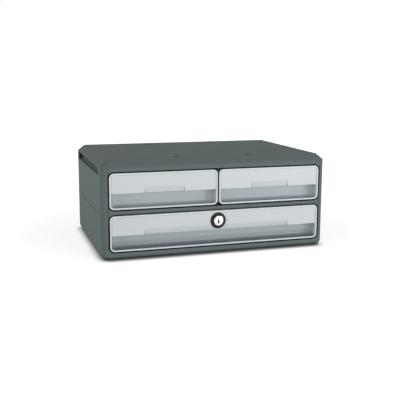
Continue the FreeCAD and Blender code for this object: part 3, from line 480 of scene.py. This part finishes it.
SHARED_GROUPS = {
    "Moulded Grain": make_moulded_grain,
    "Edge Rub": make_edge_rub_and_highlight,
    "Silver Flake": make_silver_flake,
    "Cavity Shade": make_cavity_shade,
    "Socket Dust": make_socket_shade,
    "Recess Tone": make_recess_shade_and_rim_highlight,
    "Lathe Marks": make_lathe_marks,
}


# ---------------------------------------------------------------- finishes


def new_material(name):
    """A material with a Principled shader, its nodes and that shader's inputs."""
    material = bpy.data.materials.new(name)
    nodes = emptied(material)
    shader = nodes.add("ShaderNodeBsdfPrincipled")
    nodes.add("ShaderNodeOutputMaterial", {"Surface": shader.outputs[0]})
    return material, nodes, shader.inputs


def set_bump(nodes, inputs, height, distance):
    """Raise a surface by up to a distance where the height is 1."""
    bump = nodes.add("ShaderNodeBump", {"Height": height, "Distance": distance, "Strength": 1.0})
    nodes.feed(inputs["Normal"], bump.outputs[0])


def deepened(nodes, base, mask, amount, cast=(1.0, 1.0, 1.0)):
    """A colour made darker where a mask is 1, each part of it by its own share of the amount."""
    lost = nodes.vector("MULTIPLY", mask, tuple(amount * part for part in cast))
    return nodes.vector("MULTIPLY", base, nodes.vector("SUBTRACT", (1.0, 1.0, 1.0), lost))


def around(nodes, mask, roughness, give):
    """A roughness that a mask takes from a little less to a little more."""
    return nodes.spread(mask, roughness - give, roughness + give)


def polished(nodes, roughness, mask, amount):
    """A roughness that is lower where a mask is 1."""
    return nodes.maths("MULTIPLY_ADD", mask, -amount, roughness)


def toned(tone, factor):
    """A colour made lighter or darker."""
    return tuple(min(1.0, part * factor) for part in tone)


def casing_plastic(settings):
    """Matt grained grey plastic, with painted shade in its gaps, hand grips and sockets."""
    material, nodes, inputs = new_material("casing grained grey plastic")
    grain = nodes.group("Moulded Grain", Size=settings.grain_size)
    rub_and_highlight = nodes.group("Edge Rub", Radius=0.0012)["Mask"]
    base = nodes.varied(grain["Drift"], settings.colour, low=0.95, high=1.05)
    # Painted highlight: the edges are lighter in colour; the same mask makes them less rough, as rubbing does.
    base = nodes.mixed(nodes.product(rub_and_highlight, 0.15), base, toned(settings.colour, 1.35))
    # Painted shade darkens the colour in gaps, and reaches further in the hand grips, high in the sides, than in
    # the gaps lower down.
    grips_from, grips_full, gap_reach, grip_reach = 0.10, 0.13, 0.009, 0.020
    reach = nodes.spread(nodes.axes()[2], gap_reach, grip_reach, grips_from, grips_full)
    gap_shade = nodes.group("Cavity Shade", Reach=reach, Open=0.95)["Mask"]
    base = deepened(nodes, base, gap_shade, amount=0.94)
    # Painted shade in the four stacking sockets and a narrow ring round each.
    base = deepened(nodes, base, nodes.group("Socket Dust")["Mask"], amount=0.65)
    nodes.feed(inputs["Base Color"], base)
    matt = around(nodes, grain["Drift"], settings.roughness, give=0.05)
    nodes.feed(inputs["Roughness"], polished(nodes, matt, rub_and_highlight, amount=0.12))
    inputs["Specular IOR Level"].default_value = 0.15
    set_bump(nodes, inputs, grain["Height"], settings.grain_depth)
    return material


def drawer_plastic(settings, name, tone, front=None):
    """Satin silver grey plastic with fine flakes in it; a front gets painted shade in its recess and a painted
    highlight on its rim.
    """
    material, nodes, inputs = new_material(name)
    flake = nodes.group("Silver Flake", Size=settings.flake_size)
    rub_and_highlight = nodes.group("Edge Rub", Radius=0.0009)["Mask"]
    base = nodes.varied(flake["Tone"], tone, low=0.95, high=1.05)
    # Painted highlight: edges and rims are lighter in colour; the same mask makes them less rough, as rubbing
    # does.
    base = nodes.mixed(nodes.product(rub_and_highlight, 0.5), base, toned(tone, 1.18))
    if front:
        base = recess_shaded_rim_lit(settings, nodes, base, tone, front)
    # Painted shade in the gaps round each drawer and in its inner corners.
    reach, open_air = (0.003, 0.96) if front else (0.004, 0.75)
    gap_shade = nodes.group("Cavity Shade", Reach=reach, Open=open_air)["Mask"]
    nodes.feed(inputs["Base Color"], deepened(nodes, base, gap_shade, amount=0.90))
    satin = around(nodes, flake["Height"], settings.roughness, give=0.04)
    nodes.feed(inputs["Roughness"], polished(nodes, satin, rub_and_highlight, amount=0.08))
    set_bump(nodes, inputs, flake["Height"], distance=0.000012)
    return material


def recess_shaded_rim_lit(settings, nodes, base, tone, front):
    """A front's colour, with a painted highlight on its rim and painted shade in its finger recess, deepest at its
    floor, and in its scallop.
    """
    low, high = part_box(front)
    masks = nodes.group(
        "Recess Tone", Left=low.x + RIM_WIDTH, Right=high.x - RIM_WIDTH, Floor=low.z + RIM_WIDTH,
        Ceiling=low.z + RECESS_HEIGHT, Panel=FRONT_PLANE + RIM_HEIGHT,
    )
    # Painted highlight on the rim.
    base = nodes.mixed(masks["Rim"], base, toned(tone, 1.14))
    row = front.split("_")[0]
    # Painted shade in the recess, a little cool, deeper at its floor, and in the scallop.
    plain, cool = (1.0, 1.0, 1.0), (1.14, 0.97, 0.96)
    for part, mask, cast in (
        ("recess", "Recess", cool), ("floor", "Foot", plain), ("scallop", "Scallop", plain)
    ):
        base = deepened(nodes, base, masks[mask], getattr(settings, f"{row}_{part}"), cast)
    return base


def ring_plastic(settings):
    """Glossy black plastic with faint hairlines."""
    material, nodes, inputs = new_material("lock ring gloss black plastic")
    hairlines = nodes.noise(scale=1200.0, detail=4.0, roughness=0.7)
    base = nodes.varied(nodes.noise(scale=120.0), settings.ring_colour, low=0.8, high=1.3)
    nodes.feed(inputs["Base Color"], base)
    nodes.feed(inputs["Roughness"], nodes.spread(hairlines, low=0.10, high=0.24))
    inputs["Specular IOR Level"].default_value = 0.25
    set_bump(nodes, inputs, hairlines, distance=0.000004)
    return material


def turned_metal(settings):
    """Bright plated metal with lathe marks."""
    material, nodes, inputs = new_material("lock turned bright metal")
    marks = nodes.group("Lathe Marks", Pitch=settings.turning_pitch)["Height"]
    base = nodes.varied(nodes.noise(scale=300.0), settings.metal_colour, low=0.94, high=1.04)
    nodes.feed(inputs["Base Color"], base)
    nodes.feed(inputs["Roughness"], nodes.spread(marks, low=0.16, high=0.30))
    inputs["Metallic"].default_value = 1.0
    set_bump(nodes, inputs, marks, distance=0.000006)
    return material


def keyway_painted_shade():
    """Near-black inside of the keyhole, as painted shade."""
    material, nodes, inputs = new_material("lock keyhole oiled dark metal")
    mottle = nodes.noise(scale=900.0, detail=3.0)
    darkest, less_dark = (0.008, 0.008, 0.008), (0.025, 0.024, 0.022)
    nodes.feed(inputs["Base Color"], nodes.mixed(mottle, darkest, less_dark))
    nodes.feed(inputs["Roughness"], nodes.spread(mottle, low=0.55, high=0.75))
    inputs["Specular IOR Level"].default_value = 0.1
    set_bump(nodes, inputs, mottle, distance=0.00002)
    return material


def plated_steel(settings):
    """Zinc-plated steel, slightly clouded."""
    material, nodes, inputs = new_material("plated steel")
    clouds = nodes.noise(scale=260.0, detail=4.0, roughness=0.6)
    base = nodes.varied(clouds, settings.steel_colour, low=0.85, high=1.12)
    nodes.feed(inputs["Base Color"], base)
    nodes.feed(inputs["Roughness"], nodes.spread(clouds, low=0.28, high=0.46))
    inputs["Metallic"].default_value = 1.0
    set_bump(nodes, inputs, nodes.noise(scale=2200.0, detail=3.0), distance=0.000008)
    return material


def foot_rubber():
    """Matt black rubber, fine as it comes from the mould."""
    material, nodes, inputs = new_material("foot rubber")
    grain = nodes.group("Moulded Grain", Size=0.0004)
    base = nodes.varied(grain["Drift"], (0.020, 0.020, 0.020), low=1.0, high=2.0)
    nodes.feed(inputs["Base Color"], base)
    nodes.feed(inputs["Roughness"], nodes.spread(grain["Drift"], low=0.75, high=0.9))
    set_bump(nodes, inputs, grain["Height"], distance=0.00003)
    return material


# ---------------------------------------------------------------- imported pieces


def dress(names, material, edge_radius, crease_width=0.0):
    """Give CAD nodes a material and soften their sharp edges."""
    for name in names:
        piece = frame["nodes"][name]
        for place in piece.material_slots:
            place.material = material
        soften(piece, edge_radius, crease_width)


def soften(piece, radius, crease_width):
    """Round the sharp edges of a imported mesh, whose faces come apart along them."""
    weld = piece.modifiers.new("Weld", "WELD")
    weld.merge_threshold = 1e-6
    flat = piece.modifiers.new("Flat faces", "DECIMATE")
    flat.decimate_type = "DISSOLVE"
    flat.angle_limit = FLAT_ANGLE
    if crease_width:
        mark = piece.modifiers.new("Mark creases", "NODES")
        mark.node_group = crease_marker()
        crease = piece.modifiers.new("Soft creases", "BEVEL")
        crease.width = crease_width
        crease.segments = 6
        crease.limit_method = "WEIGHT"
    bevel = piece.modifiers.new("Soft edges", "BEVEL")
    bevel.width = radius
    bevel.segments = 2
    bevel.limit_method = "ANGLE"
    bevel.angle_limit = SHARP_ANGLE
    bevel.harden_normals = True


def crease_marker():
    """Geometry nodes that give a bevel weight to blunt creases, but for those near the rear."""
    tree = bpy.data.node_groups.new("Crease Marker", "GeometryNodeTree")
    for side in ("INPUT", "OUTPUT"):
        tree.interface.new_socket("Geometry", in_out=side, socket_type="NodeSocketGeometry")
    nodes = Nodes(tree)
    turn = nodes.add("GeometryNodeInputMeshEdgeAngle").outputs["Unsigned Angle"]
    y = nodes.axes(nodes.add("GeometryNodeInputPosition").outputs[0])[1]
    weight = nodes.product(
        nodes.maths("GREATER_THAN", turn, CREASE_FROM),
        nodes.maths("LESS_THAN", turn, CREASE_TO),
        nodes.maths("LESS_THAN", y, CAD_BOX[1].y - REAR_STRIP),
    )
    store = nodes.add("GeometryNodeStoreNamedAttribute", data_type="FLOAT", domain="EDGE")
    nodes.feed(store.inputs["Geometry"], nodes.add("NodeGroupInput").outputs["Geometry"])
    nodes.feed(store.inputs["Name"], "bevel_weight_edge")
    nodes.feed(store.inputs["Value"], weight)
    nodes.add("NodeGroupOutput", {"Geometry": store.outputs["Geometry"]})
    return tree


# ---------------------------------------------------------------- shapes of the lock and screws


def turned(profile, steps=64):
    """A lathe-turned shape about Z, from (radius, height) points.

    The profile starts and ends on the axis, or else it is closed to make a ring.
    """
    shape = bmesh.new()
    dots = [shape.verts.new((radius, 0.0, height)) for radius, height in profile]
    if profile[0][0] and profile[-1][0]:
        dots.append(dots[0])
    lines = [shape.edges.new(pair) for pair in zip(dots, dots[1:])]
    bmesh.ops.spin(
        shape, geom=list(set(dots)) + lines, cent=(0, 0, 0), axis=(0, 0, 1), angle=math.tau,
        steps=steps, use_merge=True,
    )
    bmesh.ops.remove_doubles(shape, verts=shape.verts, dist=1e-7)
    bmesh.ops.recalc_face_normals(shape, faces=shape.faces)
    return shape


def prism(outline, low, high):
    """A straight prism along Z over a closed outline of (x, y) points."""
    shape = bmesh.new()
    floor = shape.faces.new([shape.verts.new((x, y, low)) for x, y in outline])
    grown = bmesh.ops.extrude_face_region(shape, geom=[floor])["geom"]
    moved = [item for item in grown if isinstance(item, bmesh.types.BMVert)]
    bmesh.ops.translate(shape, verts=moved, vec=(0, 0, high - low))
    bmesh.ops.recalc_face_normals(shape, faces=shape.faces)
    return shape


def arc(x, y, radius, first, last, steps=12):
    """Points on an arc between two angles in degrees."""
    turns = [math.radians(first + (last - first) * step / steps) for step in range(steps + 1)]
    return [(x + radius * math.cos(turn), y + radius * math.sin(turn)) for turn in turns]


def combined(shape, other, operation):
    """One shape united with another, or cut by it."""
    parts = []
    for item in (shape, other):
        mesh = bpy.data.meshes.new("part")
        item.to_mesh(mesh)
        item.free()
        part = bpy.data.objects.new("part", mesh)
        bpy.context.scene.collection.objects.link(part)
        parts.append(part)
    change = parts[0].modifiers.new("Combine", "BOOLEAN")
    change.operation = operation
    change.solver = "EXACT"
    change.object = parts[1]
    result = bmesh.new()
    result.from_object(parts[0], bpy.context.evaluated_depsgraph_get())
    for part in parts:
        mesh = part.data
        bpy.data.objects.remove(part)
        bpy.data.meshes.remove(mesh)
    if not result.faces:
        raise RuntimeError("combining two shapes left nothing")
    return result


def threaded_sleeve(crest, root, bore, low, high, pitch, steps=48, rows_a_turn=4):
    """A tube about Z with a thread on its outside, whose ridge climbs by the pitch each turn."""
    shape = bmesh.new()
    rows = round((high - low) / pitch) * rows_a_turn
    turns = [math.tau * step / steps for step in range(steps)]

    def ring(height, radii):
        return [
            shape.verts.new((radius * math.cos(turn), radius * math.sin(turn), height))
            for radius, turn in zip(radii, turns)
        ]

    rings = []
    for row in range(rows + 1):
        height = low + (high - low) * row / rows
        faded = min(1.0, row / rows_a_turn, (rows - row) / rows_a_turn)
        phases = [(height / pitch - step / steps) % 1.0 for step in range(steps)]
        ridges = [1.0 - abs(2.0 * phase - 1.0) for phase in phases]
        rings.append(ring(height, [root + (crest - root) * ridge * faded for ridge in ridges]))
    rings += [ring(height, [bore] * steps) for height in (high, low)]
    rings.append(rings[0])
    for lower, upper in zip(rings, rings[1:]):
        for step in range(steps):
            after = (step + 1) % steps
            shape.faces.new((lower[step], lower[after], upper[after], upper[step]))
    bmesh.ops.recalc_face_normals(shape, faces=shape.faces)
    return shape


def screw_shape(shank, head, length):
    """A pan-head screw about Z, with its head above zero and a cross recess in it."""
    top, side = HEAD_HEIGHT, 0.45 * HEAD_HEIGHT
    profile = [(0.0, top), (0.45 * head, top), (0.80 * head, 0.86 * top)]
    profile += [(head, side), (head, 0.0), (shank, 0.0)]
    threads = 5
    for thread in range(threads):
        start = -length * (0.1 + 0.8 * thread / threads)
        profile += [(0.8 * shank, start), (shank, start - 0.4 * length / threads)]
    profile += [(0.7 * shank, -0.97 * length), (0.5 * shank, -length), (0.0, -length)]
    wide, slim, deep = 0.55 * head, 0.11 * head, 0.30 * top
    cross = [
        (wide, -slim), (wide, slim), (slim, slim), (slim, wide), (-slim, wide), (-slim, slim),
        (-wide, slim), (-wide, -slim), (-slim, -slim), (-slim, -wide), (slim, -wide), (slim, -slim),
    ]
    return combined(turned(profile, 40), prism(cross, deep, 2 * top), "DIFFERENCE")


def lock_ring(settings):
    """Domed black ring: broad at the panel, with a rounded lip round the turning face."""
    outside, bore = settings.ring_radius, settings.face_radius + FACE_GAP
    edge = [(outside, 0.00035), (outside - 0.00015, 0.0), (outside - 0.0006, -0.0003)]
    lip = [
        (bore + 0.0013, LIP_FRONT + 0.00015), (bore + 0.0008, LIP_FRONT),
        (bore + 0.0003, LIP_FRONT), (bore + 0.00007, LIP_FRONT + 0.0001),
        (bore, LIP_FRONT + 0.00035),
    ]
    seat = [(bore, BARREL_FRONT), (BARREL_RADIUS, BARREL_FRONT)]
    return turned([(BARREL_RADIUS, RIM_HEIGHT), (outside, RIM_HEIGHT)] + edge + lip + seat, 96)


def lock_plug(settings):
    """Bright face with a drop-shaped keyhole, the plug behind it and its square end."""
    radius, half = settings.face_radius, CAM_SQUARE / 2
    plug = turned([
        (0.0, FACE_FRONT), (radius - 0.0007, FACE_FRONT), (radius - 0.0002, FACE_FRONT + 0.0002),
        (radius, FACE_FRONT + 0.0006), (radius, FACE_BACK), (PLUG_RADIUS, FACE_BACK),
        (PLUG_RADIUS, BARREL_END), (0.0, BARREL_END),
    ])
    corners = [(-half, -half), (half, -half), (half, half), (-half, half)]
    plug = combined(plug, prism(corners, BARREL_END - OVERLAP, SQUARE_END), "UNION")
    wide, slim, tall = settings.key_width / 2, settings.key_neck / 2, settings.key_height / 2
    lean = 10
    # The narrow end points along -Y here, which the lock's placement turns upwards.
    keyhole = arc(0.0, tall - wide, wide, -lean, 180 + lean)
    keyhole += arc(0.0, slim - tall, slim, 180 + lean, 360 - lean)
    cutter = prism(keyhole, FACE_FRONT - OVERLAP, FACE_FRONT + KEYHOLE_DEPTH)
    plug = combined(plug, cutter, "DIFFERENCE")
    # The keyhole's own faces, near the axis and ahead of the square, take the second material, which paints shade
    # there.
    near = tall + 0.0001
    for side in plug.faces:
        inside = all(math.hypot(*vert.co.xy) < near for vert in side.verts)
        ahead = side.calc_center_median().z < BARREL_END - OVERLAP
        side.material_index = int(inside and ahead)
    return plug


def lock_sleeve(settings):
    """The barrel: a threaded tube that the plug turns in."""
    crest, bore = BARREL_RADIUS - SLEEVE_GAP, PLUG_RADIUS + SLEEVE_GAP
    return threaded_sleeve(
        crest, crest - THREAD_DEPTH, bore, BARREL_FRONT, BARREL_END, settings.thread_pitch
    )


def along_lock(depth=0.0):
    """Takes Z to the lock's axis, so that a height is a distance behind the fronts' plane."""
    place = Vector((LOCK_X, FRONT_PLANE + depth, LOCK_Z))
    return Matrix.Translation(place) @ Matrix.Rotation(math.radians(-90), 4, "X")


def put(name, shape, matrix, material, body, node):
    """Add a piece that stands for a CAD node and moves with a body."""
    bmesh.ops.transform(shape, matrix=matrix, verts=shape.verts)
    mesh = bpy.data.meshes.new(name)
    shape.to_mesh(mesh)
    shape.free()
    mesh.shade_smooth()
    mesh.set_sharp_from_angle(angle=SHARP_ANGLE)
    mesh.materials.append(material)
    piece = bpy.data.objects.new(name, mesh)
    bpy.context.scene.collection.objects.link(piece)
    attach(piece, body)
    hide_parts(node)
    return piece


# ---------------------------------------------------------------- studio


def make_floor(scene, settings):
    """A wide pale floor, which looks white where the camera or a shiny surface sees it."""
    mesh = bpy.data.meshes.new("floor")
    shape = bmesh.new()
    bmesh.ops.create_grid(shape, x_segments=1, y_segments=1, size=FLOOR_HALF_WIDTH)
    shape.to_mesh(mesh)
    shape.free()
    floor = bpy.data.objects.new("floor", mesh)
    scene.collection.objects.link(floor)
    mesh.materials.append(pale_floor(settings))


def pale_floor(settings):
    """Matt and pale, with a glow that fades close to the object, and a painted contact shadow where the glow fades
    out under it and right beside it.
    """
    material = bpy.data.materials.new("pale floor")
    nodes = emptied(material)
    matt = nodes.add("ShaderNodeBsdfDiffuse", {"Color": tuple(settings.floor_colour)})
    far_from, far_full, contact_shadow_reach = 0.30, 0.75, 0.015
    away = nodes.vector("LENGTH", nodes.place())
    level = nodes.spread(away, settings.floor_glow, 1.0, far_from, far_full)
    # Painted contact shadow: the glow fades where the floor lies close under or beside the object.
    shade = nodes.add("ShaderNodeAmbientOcclusion", {"Distance": contact_shadow_reach}, samples=8)
    open_air = nodes.spread(shade.outputs["AO"], low=0.0, high=1.0, first=0.35, last=0.90)
    strength = nodes.product(seen(nodes), level, open_air)
    glow = nodes.add("ShaderNodeEmission", {"Strength": strength})
    both = nodes.add("ShaderNodeAddShader", {0: matt.outputs[0], 1: glow.outputs[0]})
    nodes.add("ShaderNodeOutputMaterial", {"Surface": both.outputs[0]})
    return material


def seen(nodes):
    """1 for rays from the camera, a mirror or glass, and 0 for the light on matt surfaces."""
    path = nodes.add("ShaderNodeLightPath").outputs
    sight = nodes.maths("MAXIMUM", path["Is Camera Ray"], path["Is Glossy Ray"])
    return nodes.maths("MAXIMUM", sight, path["Is Transmission Ray"])


def make_sky(scene, settings):
    """A white backdrop that lights the object at a plain level."""
    scene.world = bpy.data.worlds.new("studio")
    nodes = emptied(scene.world)
    strength = nodes.spread(seen(nodes), settings.sky_level, 1.0)
    sky = nodes.add("ShaderNodeBackground", {"Color": (1.0, 1.0, 1.0), "Strength": strength})
    nodes.add("ShaderNodeOutputWorld", {"Surface": sky.outputs[0]})


def make_lamp(scene, name, place, width, height, watts):
    """A soft rectangular lamp that faces the middle of the object."""
    light = bpy.data.lights.new(name, "AREA")
    light.shape = "RECTANGLE"
    light.size, light.size_y, light.energy = width, height, watts
    lamp = bpy.data.objects.new(name, light)
    place = Vector(place)
    aim = sum(CAD_BOX, Vector()) / 2 - place
    facing = aim.to_track_quat("-Z", "Y").to_matrix().to_4x4()
    lamp.matrix_world = Matrix.Translation(place) @ facing
    scene.collection.objects.link(lamp)


def make_camera(scene, settings):
    """The camera, in its place and at its angles, with no depth of field."""
    data = bpy.data.cameras.new("camera")
    data.sensor_width = SENSOR_WIDTH_MM
    data.lens = settings.focal_length
    camera = bpy.data.objects.new("camera", data)
    yaw = Matrix.Rotation(-settings.camera_yaw, 4, "Z")
    pitch = Matrix.Rotation(math.radians(90) - settings.camera_pitch, 4, "X")
    roll = Matrix.Rotation(settings.camera_roll, 4, "Z")
    camera.matrix_world = Matrix.Translation(settings.camera_place) @ yaw @ pitch @ roll
    scene.collection.objects.link(camera)
    scene.camera = camera


# ---------------------------------------------------------------- operators


class FILEDRAWER_OT_casing(bpy.types.Operator):
    """Finish the casing's mouldings in grained grey plastic"""

    bl_idname = "file_drawer.casing"
    bl_label = "Casing"

    def execute(self, context):
        settings = context.scene.file_drawer.casing
        plastic, radius = casing_plastic(settings), settings.edge_radius
        dress(MOULDINGS, plastic, radius)
        dress([COVER], plastic, radius, settings.crease_width)
        return {"FINISHED"}


class FILEDRAWER_OT_feet(bpy.types.Operator):
    """Finish the feet in black rubber"""

    bl_idname = "file_drawer.feet"
    bl_label = "Feet"

    def execute(self, context):
        settings = context.scene.file_drawer.casing
        dress(FEET, foot_rubber(), settings.foot_radius)
        return {"FINISHED"}


class FILEDRAWER_OT_fronts(bpy.types.Operator):
    """Finish the drawer fronts in silver grey plastic"""

    bl_idname = "file_drawer.fronts"
    bl_label = "Drawer Fronts"

    def execute(self, context):
        settings = context.scene.file_drawer.drawers
        for front in FRONTS:
            name = front.replace("_", " ") + " satin plastic"
            plastic = drawer_plastic(settings, name, settings.front_colour, front)
            dress([front], plastic, settings.rim_radius)
        return {"FINISHED"}


class FILEDRAWER_OT_trays(bpy.types.Operator):
    """Finish the drawer trays in silver grey plastic"""

    bl_idname = "file_drawer.trays"
    bl_label = "Drawer Trays"

    def execute(self, context):
        settings = context.scene.file_drawer.drawers
        plastic = drawer_plastic(settings, "tray satin plastic", settings.tray_colour)
        dress(TRAYS, plastic, settings.edge_radius)
        return {"FINISHED"}


class FILEDRAWER_OT_lock(bpy.types.Operator):
    """Make the lock's ring, face, barrel and screws, and finish its nut, cam and strike"""

    bl_idname = "file_drawer.lock"
    bl_label = "Lock"

    def execute(self, context):
        settings = context.scene.file_drawer.lock
        bright, steel = turned_metal(settings), plated_steel(settings)
        dress(["lock_nut"], bright, settings.edge_radius)
        dress(PLATED, steel, settings.edge_radius)
        put("lock_ring", lock_ring(settings), along_lock(), ring_plastic(settings),
            "lower_drawer", "lock_bezel")
        plug = put("lock_plug", lock_plug(settings), along_lock(), bright,
                   "lock_core", "lock_cylinder")
        # The second material paints the keyhole's inside near black, as shade.
        plug.data.materials.append(keyway_painted_shade())
        put("lock_sleeve", lock_sleeve(settings), along_lock(), bright,
            "lower_drawer", "lock_barrel")

        start, end = behind_fronts("cam_screw")
        screw = screw_shape(*CAM_SCREW, end - start - HEAD_HEIGHT)
        put("cam_fixing_screw", screw, along_lock(end - HEAD_HEIGHT), steel,
            "lock_core", "cam_screw")

        low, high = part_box("strike_screw")
        middle = (low + high) / 2
        place = Matrix.Translation((middle.x, middle.y, low.z + HEAD_HEIGHT))
        head_down = place @ Matrix.Rotation(math.radians(180), 4, "X")
        screw = screw_shape(*STRIKE_SCREW, high.z - low.z - HEAD_HEIGHT)
        put("strike_fixing_screw", screw, head_down, steel,
            "casing", "strike_screw")
        return {"FINISHED"}


class FILEDRAWER_OT_studio(bpy.types.Operator):
    """Make the floor, backdrop, lamps and camera"""

    bl_idname = "file_drawer.studio"
    bl_label = "Studio"

    def execute(self, context):
        scene = context.scene
        settings = scene.file_drawer.studio
        scene.view_settings.view_transform = "Standard"
        make_floor(scene, settings)
        make_sky(scene, settings)
        for name, (place, width, height) in LAMPS.items():
            watts = getattr(settings, f"{name}_power")
            make_lamp(scene, f"{name} lamp", place, width, height, watts)
        make_camera(scene, settings)
        return {"FINISHED"}


# ---------------------------------------------------------------- add-on


OPERATORS = (
    FILEDRAWER_OT_casing,
    FILEDRAWER_OT_feet,
    FILEDRAWER_OT_fronts,
    FILEDRAWER_OT_trays,
    FILEDRAWER_OT_lock,
    FILEDRAWER_OT_studio,
)


class FILEDRAWER_PT_panel(bpy.types.Panel):
    """Settings and steps of the desktop file drawer"""

    bl_idname = "FILEDRAWER_PT_panel"
    bl_label = "Desktop File Drawer"
    bl_space_type = "VIEW_3D"
    bl_region_type = "UI"
    bl_category = "File Drawer"

    def draw(self, context):
        settings = context.scene.file_drawer
        for name in settings.__annotations__:
            group = getattr(settings, name)
            box = self.layout.box()
            box.label(text=name.capitalize())
            for item in group.__annotations__:
                box.prop(group, item)
        for operator in OPERATORS:
            self.layout.operator(operator.bl_idname)


SETTINGS = (CasingSettings, DrawerSettings, LockSettings, StudioSettings, FileDrawerSettings)
CLASSES = SETTINGS + OPERATORS + (FILEDRAWER_PT_panel,)


def register():
    for cls in CLASSES:
        bpy.utils.register_class(cls)
    bpy.types.Scene.file_drawer = PointerProperty(
        type=FileDrawerSettings, name="File Drawer", description="Settings of the file drawer"
    )


def unregister():
    del bpy.types.Scene.file_drawer
    for cls in reversed(CLASSES):
        bpy.utils.unregister_class(cls)


def main():
    register()
    bpy.ops.file_drawer.casing()
    bpy.ops.file_drawer.feet()
    bpy.ops.file_drawer.fronts()
    bpy.ops.file_drawer.trays()
    bpy.ops.file_drawer.lock()
    bpy.ops.file_drawer.studio()


if __name__ == "__main__":
    main()
